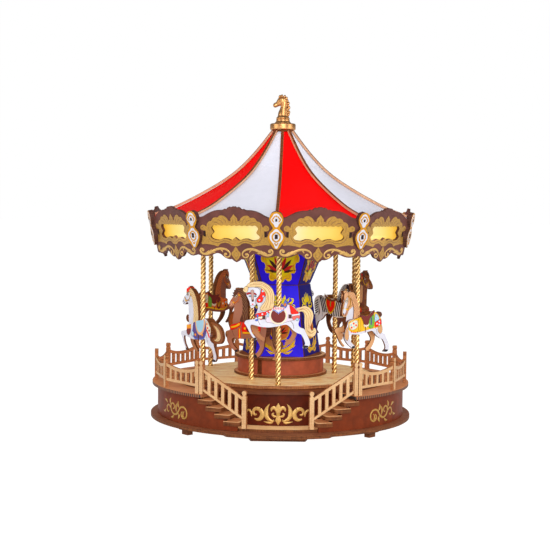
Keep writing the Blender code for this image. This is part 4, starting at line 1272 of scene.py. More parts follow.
PALMETTE = [
    [(0, 0, 0.7), (0, 5.0, 1.7), (0, 9.8, 0.05)],
    [(1.2, 0.2, 0.6), (3.8, 4.2, 1.5), (4.6, 8.4, 0.05)],
    [(2.2, -0.2, 0.6), (6.8, 2.2, 1.4), (9.2, 6.0, 0.05)],
    [(2.6, -1.4, 0.7), (8.4, -1.0, 1.4), (12.0, 1.6, 1.1), (12.4, 4.2, 0.8), (10.4, 4.8, 0.5)],
    [(2.8, -3.0, 0.7), (8.0, -5.0, 1.3), (12.6, -4.6, 1.1), (13.8, -2.0, 0.8), (12.2, -1.2, 0.5)],
]
SWAG = [
    [(0, -3.4, 1.5), (5.0, -2.6, 2.0), (10.0, 0.2, 1.8), (13.4, 4.4, 1.3), (15.4, 8.4, 0.1)],
    [(1.4, -0.2, 0.5), (5.4, 1.6, 1.2), (8.2, 4.4, 1.1), (7.6, 7.4, 0.8), (5.4, 7.2, 0.45)],
    [(9.6, 1.6, 0.5), (12.6, 1.0, 1.1), (15.6, 3.0, 0.1)],
    [(4.0, -5.2, 0.3), (8.4, -5.2, 1.2), (13.0, -2.2, 0.1)],
]
MEDALLION = [(0, 84.4), (5.6, 86.0), (8.6, 91.0), (9.2, 97.0), (7.6, 103.2), (4.0, 107.4), (0, 108.8)]


def add_motif(shape, place, motif, foot_height, look, base, lift=0.4):
    """The strokes of an ornament, drawn from a height."""
    for path in motif:
        ink(shape, place, base, [(u, foot_height + v, w) for u, v, w in path], look, lift)


def make_column():
    """Blue panels on a dark frame, each with a gold shield of petals above and a medallion below."""
    base, waist, top = COLUMN_RADII
    lower = ((COLUMN_LOW, base), (WAIST - GAP / 2, waist))
    upper = ((WAIST + GAP / 2, waist), (COLUMN_TOP, top))
    for node in ("column_lower", "column_upper"):
        fit_material(node, COLUMN_CORNER)
    low_panels, high_panels, art = Shape(), Shape(), Shape()
    shield, field, medallion = [whole(half, 4) for half in (SHIELD, FIELD, MEDALLION)]
    for index in range(COLUMN_SIDES):
        degrees = 360 / COLUMN_SIDES * index
        place = column_face(degrees, *lower)
        loop = panel_loop(*lower, 0.55, COLUMN_LOW, WAIST - 0.6)
        # Painted shade: every panel but the front one wears the darker blue
        blue = COLUMN_SHADED_BLUE if index else COLUMN_BLUE
        low_panels.plate([loop], place, 0.0, PANEL_SKIN, blue, COLUMN_CORNER)
        add_motif(art, place, PALMETTE, 120.0, YELLOW_INK, PANEL_SKIN - 0.02)
        art.plate([medallion], place, PANEL_SKIN, PANEL_SKIN + 0.3, ORANGE_INK, AMBER_INK)
        rim = [(u, v, 0.65) for u, v in smoothed(MEDALLION, 3)]
        ink(art, place, PANEL_SKIN + 0.1, rim, GOLD_YELLOW, 0.4)
        add_sunburst(art, place, (0, 90.5), 8.2, PANEL_SKIN + 0.28)
        add_motif(art, place, SWAG, 77.0, GOLD_YELLOW, PANEL_SKIN - 0.02)
        place = column_face(degrees, *upper)
        loop = panel_loop(*upper, 0.55, WAIST + 0.6, COLUMN_TOP)
        high_panels.plate([loop], place, 0.0, PANEL_SKIN, blue, COLUMN_CORNER)
        art.plate([shield, field], place, PANEL_SKIN, PANEL_SKIN + 0.35, GOLD_YELLOW, AMBER_INK)
        art.plate([field], place, PANEL_SKIN, PANEL_SKIN + 0.12, YELLOW_INK, AMBER_INK)
        for path in SHIELD_LINES:
            ink(art, place, PANEL_SKIN + 0.33, path, AMBER_INK, 0.2)
        add_sunburst(art, place, (0, 150.5), 17.0, PANEL_SKIN + 0.1)
    low_panels.done("column_lower_panels", "rotor", "column_paint")
    high_panels.done("column_upper_panels", "rotor", "column_paint")
    art.done("column_art", "rotor", "column_paint")


# Horses, drawn in (forward, up) from the pole and the trunk's middle

NECK_HALF, SKULL_HALF, MANE_HALF = 1.5, 1.75, 2.5
CORE_HALF, BODY_HALF = 2.62, 4.6
SLOT_HALF = 2.8
LAYER = 0.14
OUTLINE_HALF = 0.14

FORE_REACHING = [
    (20.9, 2.5), (22.4, 0.2), (27.6, -0.5), (30.2, -1.2), (31.6, -3.3), (30.2, -5.6), (28.8, -7.8),
    (27.6, -10.3), (25.3, -14.3), (23.0, -17.3), (20.8, -19.3), (19.8, -18.2), (21.6, -16.2), (24.0, -13),
    (25.5, -9.3), (26.0, -6.5), (24.8, -4.9), (21.5, -5.5),
]
FORE_FOLDED = [
    (22.2, 1.5), (24.2, -2.5), (25.5, -6.5), (25.0, -10.8), (21.8, -15.4), (18.2, -18.4), (14.8, -20.5),
    (12.6, -19.6), (13.2, -17.8), (16.2, -15.4), (18.6, -12.2), (19.8, -9.4), (19.0, -7.6),
]
BELLY = [(16.3, -6.8), (9.1, -7.3), (1.9, -6.4), (-3.2, -5.2), (-7.3, -4.5)]
HIND_STRETCHED = [
    (-10.4, -6.3), (-13.9, -9.9), (-17.6, -12.2), (-20.7, -13.3), (-22.7, -16), (-24.5, -20.1),
    (-24.6, -22.8), (-22.0, -25.3), (-24.4, -26.0), (-27.2, -25.6), (-29.5, -21.9), (-27.8, -16.5),
    (-25.2, -11.2), (-24.0, -8.4), (-21.1, -7.4), (-18.8, -5.6), (-18.5, -2.7),
]
HIND_TUCKED = [
    (-9.6, -8.2), (-12.4, -12.6), (-11.6, -15.8), (-9.2, -19.2), (-6.0, -21.8), (-6.2, -23.9),
    (-8.4, -24.7), (-11.0, -23.2), (-13.8, -20.4), (-16.6, -15.0), (-17.5, -9.0), (-18.4, -4.0),
]
BACK = [
    (-19.5, 0.9), (-19.6, 5.5), (-17.8, 8.1), (-15.5, 10.7), (-13.5, 12.7), (-9.8, 14.2), (-6.7, 13.8),
    (-4.7, 11.9), (0, 10.8), (5, 10.6), (7.4, 9.0), (11.2, 8.0), (17.6, 7.2), (21.2, 5.5),
]
HOOVES = {
    "reaching": [(20.8, -19.3), (19.8, -18.2), (21.2, -16.7), (23.2, -17.2)],
    "folded": [(14.8, -20.5), (12.6, -19.6), (13.2, -17.8), (15.6, -18.2), (16.6, -19.6)],
    "stretched": [(-22.0, -25.3), (-24.4, -26.0), (-27.2, -25.6), (-28.2, -24.0), (-24.2, -23.4)],
    "tucked": [(-6.0, -21.8), (-6.2, -23.9), (-8.4, -24.7), (-10.0, -23.6), (-7.8, -21.0)],
}
LEGS = {"reaching": FORE_REACHING, "folded": FORE_FOLDED, "stretched": HIND_STRETCHED, "tucked": HIND_TUCKED}
TAIL = [
    (-16.4, 10.4), (-20.4, 11.6), (-24.2, 12.7), (-28.3, 11.2), (-31.1, 8.1), (-32.2, 4.0), (-31.4, -1.1),
    (-30.2, -4.2), (-29.4, -6.8), (-30.4, -9.8), (-32.2, -9.8), (-32.3, -8.4), (-33.6, -7.6), (-35.0, -9.8),
    (-34.8, -12.6), (-33.2, -14.9), (-30.6, -15.8), (-27.3, -14.8), (-25.2, -11.4), (-24.5, -7.3),
    (-24.0, -2.2), (-24.0, 3.5), (-23.2, 6.4), (-21.0, 7.8), (-17.0, 6.4),
]
DOCKED_TAIL = [(-15.5, 11.2), (-18.4, 13.4), (-21.4, 12.8), (-22.4, 10.2), (-20.8, 8.2), (-15.5, 7.2)]
CURLED_TAIL = [
    (-16, 11.2), (-21, 10.8), (-26.4, 9.6), (-31.2, 6.6), (-34.2, 2), (-35, -3.2), (-32.4, -7.4), (-27, -9),
    (-21.2, -8), (-18.2, -4.6), (-19.6, -3.2), (-22.6, -3.4), (-24, -0.6), (-23, 2.8), (-20, 5.6),
    (-16, 6.8),
]
TAIL_FACE = [
    (-19.6, 8.6), (-25, 7.4), (-29, 4.6), (-31.4, 0.6), (-31.6, -3.2), (-28.8, -6), (-24, -6.4),
    (-21.2, -5.2), (-24.4, -4.6), (-26.4, -1), (-25.2, 3.4), (-22, 6.6),
]
MUSCLES = [[(17.6, 5.4), (19.6, 0.6), (17.0, -5.0)], [(-9.2, 0.4), (-13.2, -3.4), (-14.2, -8.2)]]
TAIL_HAIRS = [
    [(-18.4, 9.0), (-24.0, 9.6), (-28.0, 5.0), (-28.0, -2.0), (-27.4, -8.0)],
    [(-20.0, 9.8), (-25.4, 10.8), (-29.8, 6.0), (-29.6, -1.4), (-28.2, -9.0)],
    [(-22.4, 7.8), (-26.0, 3.6), (-26.2, -3.0), (-26.4, -9.6), (-29.6, -12.8)],
    [(-27.6, -10.4), (-30.6, -12.6), (-33.4, -10.6)],
]

# The head's outline from the poll, with the nose along the first axis
SKULL = [
    (-1.0, 0.6), (3.6, 1.6), (8.6, 1.1), (14, 0.4), (17.4, -0.6), (18.8, -2.6), (18.2, -4.8), (15.8, -6.0),
    (12.2, -6.2), (9.6, -7.8), (5.6, -10.2), (1.2, -10.0), (-2.6, -7.4), (-3.2, -3.0),
]
EAR = [(-1.4, 0.2), (-2.2, 2.8), (-0.8, 5.0), (0.8, 3.2), (2.0, 0.8)]
BRIDLE = [
    [(0.4, 1.0), (1.8, -3.0), (0.8, -8.6)],
    [(1.8, -3.4), (7.0, -6.0), (12.4, -4.4)],
    [(12.6, 0.7), (11.6, -2.8), (12.2, -6.0)],
]

NECKS = {
    "facing": [
        (18.6, 3), (12, 5), (6, 9.4), (5, 14), (5.4, 20), (7, 26), (11.4, 31), (16, 33.4), (22, 34.2),
        (27.6, 32.8), (31.2, 28.8), (30.2, 24), (28.8, 19.6), (26.8, 15), (26.2, 11.8), (23.8, 10.8),
        (22.0, 13.4), (20.2, 14.2), (19.2, 10), (20.6, 5.4),
    ],
    "profile": [
        (18.6, 3), (12, 5), (6, 9.4), (6.6, 14), (8.2, 20), (10.6, 26), (14.2, 31), (19, 33.6), (24, 31),
        (25.2, 26), (23.2, 20.5), (21.8, 15), (21.9, 9), (21.4, 5.4),
    ],
    "raised": [
        (18.6, 3), (12, 5), (6, 9.4), (6.6, 16), (8, 24), (10.6, 31), (14.6, 37), (19.4, 40), (24, 37),
        (24.8, 31), (23.4, 26), (22.4, 19), (22.2, 11), (21.4, 5.4),
    ],
    "bowed": [
        (18.6, 3), (11, 5), (5, 9), (5, 17), (5.8, 26), (8, 34), (11.4, 39.4), (15.6, 41.2), (19.6, 38),
        (20.6, 32), (19.4, 26), (19.8, 19), (20.8, 11), (21.2, 5.4),
    ],
    "arched": [
        (19, 0), (12, 4), (7, 8.6), (7.6, 14), (9.2, 20), (11.6, 26), (15, 30.6), (19.6, 32.4), (23.6, 30),
        (24.4, 24), (22, 17), (21, 11), (21.4, 5),
    ],
    "low": [
        (18.4, 2.6), (12, 5), (7.2, 8.8), (9.6, 14), (13, 19), (16.8, 22.8), (20.6, 24), (24, 21), (25, 15),
        (23, 10), (21.6, 6),
    ],
}

# Mane, poll, tilt of the nose and size of each head in profile
HEADS = {
    "profile": (
        [
            (12.6, 8.6), (9, 7.4), (5.2, 8.8), (4.4, 13), (5.2, 18), (7, 23.6), (9.8, 29), (13.6, 33.2),
            (18.6, 35.6), (22.4, 34.6), (20.4, 31.6), (16.8, 29.2), (14.6, 25.4), (13, 20.4), (12.4, 15),
            (13.2, 11),
        ],
        (20.6, 33.4), -56, 1.0,
    ),
    "raised": (
        [
            (12.6, 8.6), (9, 7.4), (5.2, 8.8), (4.2, 14), (4.8, 20), (6.2, 27), (9, 33.6), (13, 39),
            (17.6, 41.6), (21.2, 40.6), (19.8, 37.6), (16.4, 34.4), (14.2, 29.4), (13, 23.4), (12.4, 16.4),
            (13.2, 11),
        ],
        (19.6, 39.4), -37, 0.98,
    ),
    "bowed": (
        [
            (11.6, 8.4), (8, 7.2), (4.2, 8.8), (2.8, 14), (2.6, 21), (3.4, 28), (5.4, 34.6), (8.8, 40),
            (12.6, 41.8), (16, 41.2), (15, 38.4), (12, 35.4), (9.8, 30.6), (9, 24), (9.6, 17), (11.6, 12),
        ],
        (14.6, 38.0), -47, 0.94,
    ),
    "arched": (
        [
            (13.2, 7.4), (9.6, 6.6), (6.2, 8.4), (5.6, 13), (6.8, 19), (8.8, 25), (12, 30.2), (16.0, 33),
            (20.2, 33.6), (22.4, 32.4), (19.4, 30.0), (16, 27), (13.8, 22), (12.6, 16.4), (12.8, 11),
        ],
        (20.2, 31.6), -70, 1.14,
    ),
    "low": (
        [
            (12.4, 7.8), (8.6, 6.6), (5, 8.8), (6.6, 13), (9.4, 18.4), (12.6, 22.6), (16.4, 25.4),
            (20.2, 26.4), (22.2, 25.2), (19.6, 22.6), (16.2, 19.2), (13.2, 14.4), (12.2, 10.6),
        ],
        (20.8, 23.8), -50, 0.9,
    ),
}

# leg and dark_leg tint the inner faces of the leg sheets: unpainted wood, darkened with painted shade
TINTS = {
    "white": (226, 225, 236), "stone": (252, 240, 232), "cream": (250, 234, 204), "seat": (124, 70, 42),
    "pink_white": (238, 220, 236), "tan": (224, 168, 116), "rose": (176, 112, 84), "bay": (132, 76, 56),
    "chestnut": (152, 90, 66), "leg": (184, 122, 78), "dark_leg": (96, 52, 28), "mane": (243, 208, 150),
    "strand": (176, 116, 60), "auburn": (190, 100, 50), "auburn_dark": (150, 84, 44), "sand": (226, 168, 120),
    "sable": (92, 46, 22), "peach": (246, 186, 132), "nose": (222, 150, 116), "umber": (84, 46, 40),
    "red": (250, 26, 0), "crimson": (176, 30, 34), "maroon": (122, 38, 30), "pink_red": (240, 110, 100),
    "orange": (236, 120, 40), "yellow": (248, 190, 20), "green": (112, 178, 56), "violet": (92, 72, 140),
    "blue": (82, 118, 208), "pale_blue": (170, 214, 236), "taupe": (196, 156, 146), "ink": (34, 22, 24),
    "outline": (88, 46, 30),
}
INKS = {name: paint("horse_" + name, colour, 0.42, 0.035) for name, colour in TINTS.items()}


class Side:
    """One face of a sheet, painted on in thin layers."""

    def __init__(self, shape, place, base):
        self.shape, self.place, self.base = shape, place, base

    def patch(self, loop, tint, layer=1, smooth=True):
        """A filled shape, with a fine drawn outline where it is smooth."""
        look = INKS[tint]
        edge = EDGE if layer > 5 else look
        top = self.base + LAYER * layer
        self.shape.plate([rounded(loop) if smooth else loop], self.place, self.base - 0.05, top, look, edge)
        if smooth:
            self.line(loop + loop[:1], OUTLINE_HALF, "outline", layer + 1, 0.12)

    def line(self, points, half, tint, layer=1, lift=0.16):
        path = [(u, v, half) for u, v in points]
        self.shape.ribbon(path, self.place, self.base + LAYER * (layer - 1) - 0.03, lift, INKS[tint], 3)

    def lines(self, paths, half, tint, layer=1, lift=0.16):
        for path in paths:
            self.line(path, half, tint, layer, lift)

    def dot(self, centre, radius, tint, layer=1):
        self.patch(circle(centre, radius, 14), tint, layer, False)

    def box(self, centre, half, tint, layer):
        """An upright rectangle with half its width and half its height."""
        (u, v), (a, b) = centre, half
        self.patch([(u - a, v - b), (u + a, v - b), (u + a, v + b), (u - a, v + b)], tint, layer, False)


def dress_head_facing(neck):
    """The front horse looks out at the viewer: its face is a plate of its own in front of its mane."""
    mane = [
        (30.2, 30.4), (28.9, 32.4), (26.1, 34.2), (20.9, 35.0), (15.8, 34.7), (12.2, 33.2), (8.9, 31.1),
        (5.9, 27.8), (4.3, 23.5), (3.8, 19.4), (4.5, 15.8), (4.1, 13.7), (5.6, 10.2), (9.1, 8.2),
        (12.2, 7.4), (15.3, 8.0), (17.3, 9.6), (15.8, 12.7), (13.2, 15.8), (12.0, 18.9), (12.2, 23.5),
        (13.7, 26.1), (16.3, 28.6), (19.9, 29.9), (25.0, 29.2), (27.6, 29.4),
    ]
    neck.patch(mane, "mane", 7)
    hairs = [
        [(27, 31.6), (21, 32.4), (14.6, 31.6), (9.6, 27.6), (7.4, 22), (7.4, 16), (8.6, 11)],
        [(24, 33.2), (17, 33.6), (11.2, 30.8), (7.2, 26.6), (5.8, 20.6), (6.2, 14.4)],
        [(22, 30.8), (16.4, 30.2), (12, 26.6), (9.6, 21.4), (10, 15.4), (12, 10.4)],
        [(13.6, 27.8), (10.8, 23), (11, 17.4), (13.2, 12.8), (15, 10)],
    ]
    neck.lines(hairs, 0.22, "strand", 8)
    strap = [
        (16.3, 28.2), (14.3, 26.8), (12.4, 24.0), (12.7, 21.6), (14.3, 19.7), (15.3, 16.4), (18.4, 15.6),
        (20.2, 16.3), (20.2, 18.9), (18.2, 21.4), (16.9, 24.2),
    ]
    neck.patch(strap, "red", 8)
    for centre in ((14.9, 26.1), (14.3, 21.3), (17.8, 17.8)):
        neck.dot(centre, 0.85, "pale_blue", 9)
    face = [
        (29.4, 28.8), (26.6, 29.6), (22.5, 29.6), (18.9, 28.8), (17.2, 26.6), (17.5, 23.5), (19.5, 20.4),
        (21.4, 18.8), (21.8, 15.8), (21.0, 13.7), (22.3, 11.9), (23.5, 10.5), (25.5, 10.5), (26.6, 12.7),
        (27.0, 15.8), (28.6, 19.4), (29.9, 22.0), (30.5, 25.0), (30.1, 27.4),
    ]
    neck.patch(face, "white", 12)
    brows = [
        [(29.9, 24.2), (28.0, 25.0), (26.0, 24.8), (25.6, 23.5), (27.6, 23.2), (29.4, 22.6)],
        [(23.2, 24.6), (21.8, 24.4), (20.7, 23.4), (20.7, 22.4), (22.0, 22.9), (23.0, 23.2)],
    ]
    for brow in brows:
        neck.patch(brow, "crimson", 14)
    for u in (26.5, 21.8):
        neck.patch([(u - 1.5, 21.5), (u, 22.3), (u + 1.5, 21.5), (u, 20.7)], "pale_blue", 13)
        neck.dot((u + 0.1, 21.4), 0.55, "ink", 14)
    blaze = [(26.0, 26.4), (24.4, 27.4), (23.0, 26.0), (23.2, 21.0), (23.2, 17.0), (24.8, 16.6), (25.4, 21.0)]
    neck.patch(blaze, "taupe", 13)
    neck.dot((24.0, 17.4), 0.95, "sable", 14)
    neck.line([(24.8, 14.0), (23.4, 13.8)], 0.6, "red", 13)
    neck.line([(26.4, 12.9), (24.0, 12.4), (21.8, 13.0)], 0.2, "ink", 13)
    lock = [(33.2, 26.6), (32.6, 28.6), (31.0, 30.2), (28.6, 30.0), (28.6, 27.2), (29.8, 25.0), (31.8, 25.0)]
    neck.patch(lock, "mane", 15)
    neck.line([(31.8, 28.6), (31.2, 26.0)], 0.2, "strand", 16)


def dress_front(side):
    """Red, pink and blue harness with a round saddle."""
    blanket = [
        (9.8, 5.2), (7.1, 8.2), (4.4, 10.4), (-0.1, 10.6), (-4.7, 11.6), (-6.8, 13.9), (-9.8, 13.9),
        (-11.4, 8.6), (-12.9, 5.3), (-14.0, 3.5), (-13.8, -0.1), (-9.3, -1.4), (-5.7, -2.6), (-0.1, -4.1),
        (6.1, -3.1), (11.2, -2.2), (11.4, 1.2),
    ]
    side.patch(blanket, "pink_white", 1)
    crupper = [(-10.0, 13.9), (-13.4, 12.2), (-16.3, 9.0), (-18.6, 6.2), (-12.2, 5.3), (-10.9, 8.6)]
    side.patch(crupper, "red", 2)
    side.patch([(-12.4, 5.1), (-19.2, 5.9), (-19.2, 4.5), (-12.6, 3.5)], "white", 3, False)
    pink = [(-12.7, 3.2), (-19.2, 4.3), (-19.3, 1.2), (-17.6, 0.2), (-15.8, 1.0), (-14.2, -0.3), (-13.0, 1.0)]
    side.patch(pink, "pink_red", 4)
    side.patch([(-19.0, 1.0), (-17.0, 2.2), (-16.0, 0.4), (-17.4, -0.8)], "pale_blue", 5)
    collar = [
        (21.0, 5.2), (17.3, 6.3), (12.2, 7.3), (8.1, 9.0), (5.6, 9.8), (6.4, 7.2), (9.3, 5.6), (13.0, 3.6),
        (14.2, 0.8), (16.6, -0.2), (19.0, 1.6), (21.0, 2.0),
    ]
    side.patch(collar, "red", 2)
    side.patch([(15.2, 3.2), (17.4, 2.6), (19.2, 2.8), (18.4, 1.0), (16.2, 0.6), (14.6, 1.6)], "cream", 3)
    side.patch([(18.6, 4.6), (20.4, 4.4), (19.6, 1.6), (18.8, 2.2)], "blue", 3)
    side.patch([(19.0, 0.6), (21.6, -0.4), (20.6, -1.6), (18.6, -0.6)], "blue", 3)
    for centre in ((15.0, 5.0), (10.6, 6.4), (8.2, 7.6)):
        side.dot(centre, 0.8, "white", 3)
    # Painted shade: two dark umber boxes stand for holes in the harness
    for centre in ((13.5, 2.0), (-10.7, 3.2)):
        side.box(centre, (1.5, 1.8), "umber", 4)
    side.patch([(11.2, 5.6), (9.4, 6.4), (8.8, 3.4), (10.2, 2.2)], "pale_blue", 3)
    centre = (0.2, 3.9)
    side.patch(circle(centre, 8.3, 40), "cream", 4, False)
    side.patch(circle(centre, 6.8, 40), "maroon", 5, False)
    valance = [
        (5.6, 10.6), (2.8, 11.6), (0, 11.9), (-2.8, 11.7), (-5.2, 11.9), (-5.4, 8.6), (-3.6, 8.4),
        (-2.2, 6.8), (-1.0, 6.6), (0, 5.0), (1.0, 6.6), (2.2, 6.8), (3.6, 8.2), (5.4, 8.4),
    ]
    side.patch(valance, "white", 6, False)
    for index in range(7):
        u = -4.5 + 1.5 * index
        side.line([(u, 11.5), (u + 0.1, 9.4)], 0.38, "pink_red" if index % 2 else "red", 7)
    zigzag = [
        (5.4, 8.9), (4.2, 8.9), (3.2, 8.7), (2.0, 7.4), (1.0, 7.2), (0, 5.8), (-1.0, 7.2), (-2.0, 7.4),
        (-3.2, 8.9), (-4.4, 9.1), (-5.4, 9.2),
    ]
    side.line(zigzag, 0.42, "blue", 7)
    side.patch([(-4.2, 12.6), (-5.6, 17.6), (-8.0, 16.0), (-7.6, 12.8), (-5.6, 10.6)], "blue", 5)
    side.patch([(-4.8, 13.0), (-5.8, 15.8), (-7.0, 14.8), (-6.4, 12.4)], "orange", 6)


SADDLE = [
    (7.6, 11.4), (3.6, 10.7), (0, 10.5), (-4.6, 11.7), (-8.8, 15.2), (-10.2, 14.6), (-8.4, 11.0),
    (-5.0, 8.2), (-3.2, 4.4), (-2.8, 0.8), (1.8, 0.6), (3.2, 5.0), (5.4, 8.6),
]
RUG = [
    (14.0, 7.4), (7.5, 9.2), (2.6, 10.4), (-4.6, 11.7), (-9.6, 13.9), (-13.6, 12.4), (-16.6, 9.2),
    (-18.9, 6.0), (-19.0, 0.4), (-13.2, -1.6), (-6, -2.4), (2, -4.0), (9.6, -5.0), (15.6, -4.8),
    (20.2, -2.2), (20.8, 2.4), (20.6, 5.2), (17.0, 6.8),
]
RUG_HEM = [(-18.6, 0.8), (-13.2, -1.0), (-6, -1.8), (2, -3.4), (9.6, -4.4), (15.6, -4.2), (20.0, -1.8)]


def dress_rug(side, rug, hem, panels, saddle):
    """A rug with a hem in another colour, panels of (loop, look) on it and a saddle with its flap."""
    side.patch(RUG, rug, 1)
    side.line(RUG_HEM, 0.8, hem, 2)
    for loop, look in panels:
        side.patch(loop, look, 3)
    side.patch(SADDLE, saddle, 5)
    fringe = [(-3.4, 2.6), (-2.4, 0.2), (-1.2, 1.6), (-0.4, -0.8), (0.6, 1.4), (1.6, 0.0), (2.4, 2.2)]
    side.line(fringe, 0.55, "cream", 6)
    side.line([(0.2, 1.0), (0.6, -5.6)], 0.4, saddle, 4)


def dress_pinto(side):
    """A yellow rug with panels, spots and a fringe."""
    panels = [
        ([(19.6, 4.4), (11.0, 6.6), (10.2, 0.2), (15.6, -2.6), (19.2, -0.8)], "cream"),
        ([(9.2, 7.2), (7.4, 7.8), (6.0, -2.6), (8.6, -3.2)], "yellow"),
        ([(-4.4, 9.6), (-9.6, 11.2), (-9.4, -0.4), (-3.6, -1.0)], "green"),
        ([(-11.2, 11.6), (-14.0, 10.8), (-16.4, 6.4), (-11.0, 4.2)], "pale_blue"),
        ([(-11.2, 3.6), (-16.8, 6.6), (-18.8, 4.4), (-18.6, 1.2), (-13.2, -0.8), (-11.0, -0.4)], "red"),
    ]
    dress_rug(side, "yellow", "yellow", panels, "maroon")
    spots = ((17.6, 2.4), (14.8, 3.6), (12.4, 4.6), (17.2, -0.2), (14.4, 0.6), (12.0, 1.8))
    for index, spot in enumerate(spots):
        side.dot(spot, 0.95, "red" if index % 2 else "pale_blue", 4)
    side.line([(-6.6, 8.6), (-6.4, 1.4)], 0.8, "violet", 4)
    for spot in ((-13.4, 2.2), (-16.4, 4.2), (-16.2, 1.2)):
        side.dot(spot, 0.9, "white", 4)
    side.lines([[(-11.6, 10.4), (-15.0, 7.4)], [(-11.4, 7.6), (-14.6, 5.6)]], 0.3, "white", 4)
    for u in (17.0, 14.6, 12.2, 9.8):
        side.dot((u, -5.0 + abs(u - 12) * 0.12), 0.6, "red" if u > 12 else "maroon", 3)
    side.patch([(-15.6, 0.2), (-19.6, 0.8), (-20.4, -5.4), (-17.6, -7.6), (-14.8, -4.0)], "tan", 1)
    side.patch([(21.6, 0.4), (24.6, -4.4), (25.0, -9.6), (21.6, -12.6), (20.2, -8.0)], "tan", 1)


def bowl(centre, across, down):
    """The lower half of an oval, from its right end."""
    turns = [math.radians(degrees) for degrees in range(0, 181, 12)]
    return [(centre[0] + across * math.cos(t), centre[1] - down * math.sin(t)) for t in turns]


def dress_purple(side):
    """A violet rug under a round blue saddle."""
    rug = [
        (9.6, 8.4), (3, 10.2), (-4, 11.4), (-9.4, 13.4), (-11.6, 7.6), (-12.2, 0.8), (-8.2, -5.0),
        (0.4, -6.4), (7.6, -6.0), (10.6, -1.0),
    ]
    side.patch(rug, "violet", 1)
    side.line(rug[5:] + [(10.4, 3.0)], 0.5, "blue", 2)
    crupper = [(-12.2, 12.6), (-17.4, 8.6), (-19.4, 5.4), (-19.4, 1.2), (-15.0, 0.8), (-12.6, 5.0)]
    side.patch(crupper, "cream", 2)
    spots = {"orange": (-13.8, 9.4), "red": (-15.0, 5.6), "maroon": (-17.6, 3.4)}
    for look, spot in spots.items():
        side.dot(spot, 1.1, look, 3)
    side.line([(-13.0, 3.8), (-15.6, 0.6), (-17.8, -3.4)], 0.9, "red", 3)
    side.patch([(21.2, 5.4), (13.6, 7.2), (13.4, 2.4), (21.0, 1.0)], "orange", 1, False)
    for u in (14.8, 16.8, 18.8, 20.4):
        side.line([(u, 6.0), (u, 3.2)], 0.5, "yellow", 2)
    side.patch([(20.8, 1.2), (14.0, 2.4), (15.0, -2.0), (18.0, -4.0), (20.6, -2.0)], "maroon", 2)
    side.patch([(11.4, 0.6), (8.6, -1.0), (9.6, -4.8), (12.6, -3.0)], "pale_blue", 2)
    side.line([(11.8, -0.2), (9.6, -4.0)], 0.35, "white", 3)
    for spot in ((-5.6, -1.8), (5.8, -2.6)):
        side.dot(spot, 1.4, "orange", 2)
        side.dot(spot, 0.7, "yellow", 3)
    side.patch(bowl((-2.4, 10.4), 8.0, 12.6) + [(-10.2, 13.4), (5.4, 10.8)], "peach", 4, False)
    side.patch(bowl((-2.4, 10.6), 6.4, 10.2) + [(-8.6, 13.0), (3.8, 10.8)], "pale_blue", 5, False)
    side.line([(0.6, -2.6), (0.8, -7.6)], 0.9, "umber", 3)


def dress_orange(side):
    """An orange rug with panels of other colours."""
    panels = [
        ([(19.8, 4.8), (11.6, 6.4), (11.4, -2.8), (15.8, -3.4), (19.4, -1.0)], "orange"),
        ([(9.6, 6.8), (5.4, 8.2), (4.4, -2.2), (9.4, -3.2)], "maroon"),
        ([(-4.4, 9.2), (-8.4, 10.6), (-8.6, 0.2), (-3.8, -0.6)], "green"),
        ([(-9.8, 12.0), (-13.8, 10.6), (-16.6, 6.0), (-10.2, 3.4)], "cream"),
        ([(-10.4, 2.6), (-16.8, 5.0), (-18.4, 2.0), (-14.6, -0.8), (-10.2, -0.8)], "red"),
    ]
    dress_rug(side, "orange", "yellow", panels, "maroon")
    side.lines([[(-12.0, 9.8), (-14.8, 6.0)], [(-10.8, 7.8), (-13.4, 4.8)]], 0.3, "maroon", 4)
    spots = {"pale_blue": (18.0, 2.6), "red": (15.4, 4.0), "cream": (13.2, 1.4), "ink": (17.2, -0.8)}
    for look, spot in spots.items():
        side.dot(spot, 1.0, look, 4)
    side.line([(9.0, 4.0), (7.0, -1.6), (5.4, 3.0)], 0.5, "yellow", 4)


def dress_girth(side):
    """A red and yellow collar, girth and rug under a maroon saddle."""
    side.patch([(21.4, 5.6), (13.0, 7.8), (8.8, 9.6), (9.6, 5.8), (14.4, 2.8), (21.2, 0.8)], "red", 1)
    side.line([(20.8, 3.4), (15.6, 4.6), (10.6, 7.2)], 0.9, "yellow", 2)
    side.patch([(12.4, 2.4), (9.8, 4.0), (9.4, -6.8), (12.4, -6.8)], "red", 1, False)
    side.line([(11.0, 2.6), (10.9, -6.4)], 0.7, "yellow", 2)
    rug = [(7.4, 9.4), (-4, 11.2), (-9.6, 13.6), (-13.0, 10.0), (-12.6, 0.4), (-4, -1.4), (7.6, -1.8)]
    side.patch(rug, "red", 1)
    side.line([(-12.2, 1.0), (-4, -0.8), (7.2, -1.2)], 0.9, "yellow", 2)
    for u in (-9.6, -6.6, 4.8):
        side.dot((u, 3.2), 1.1, "yellow", 2)
    side.patch(SADDLE, "maroon", 4)
    side.line([(-13.2, 8.6), (-18.6, 4.8)], 0.7, "red", 2)


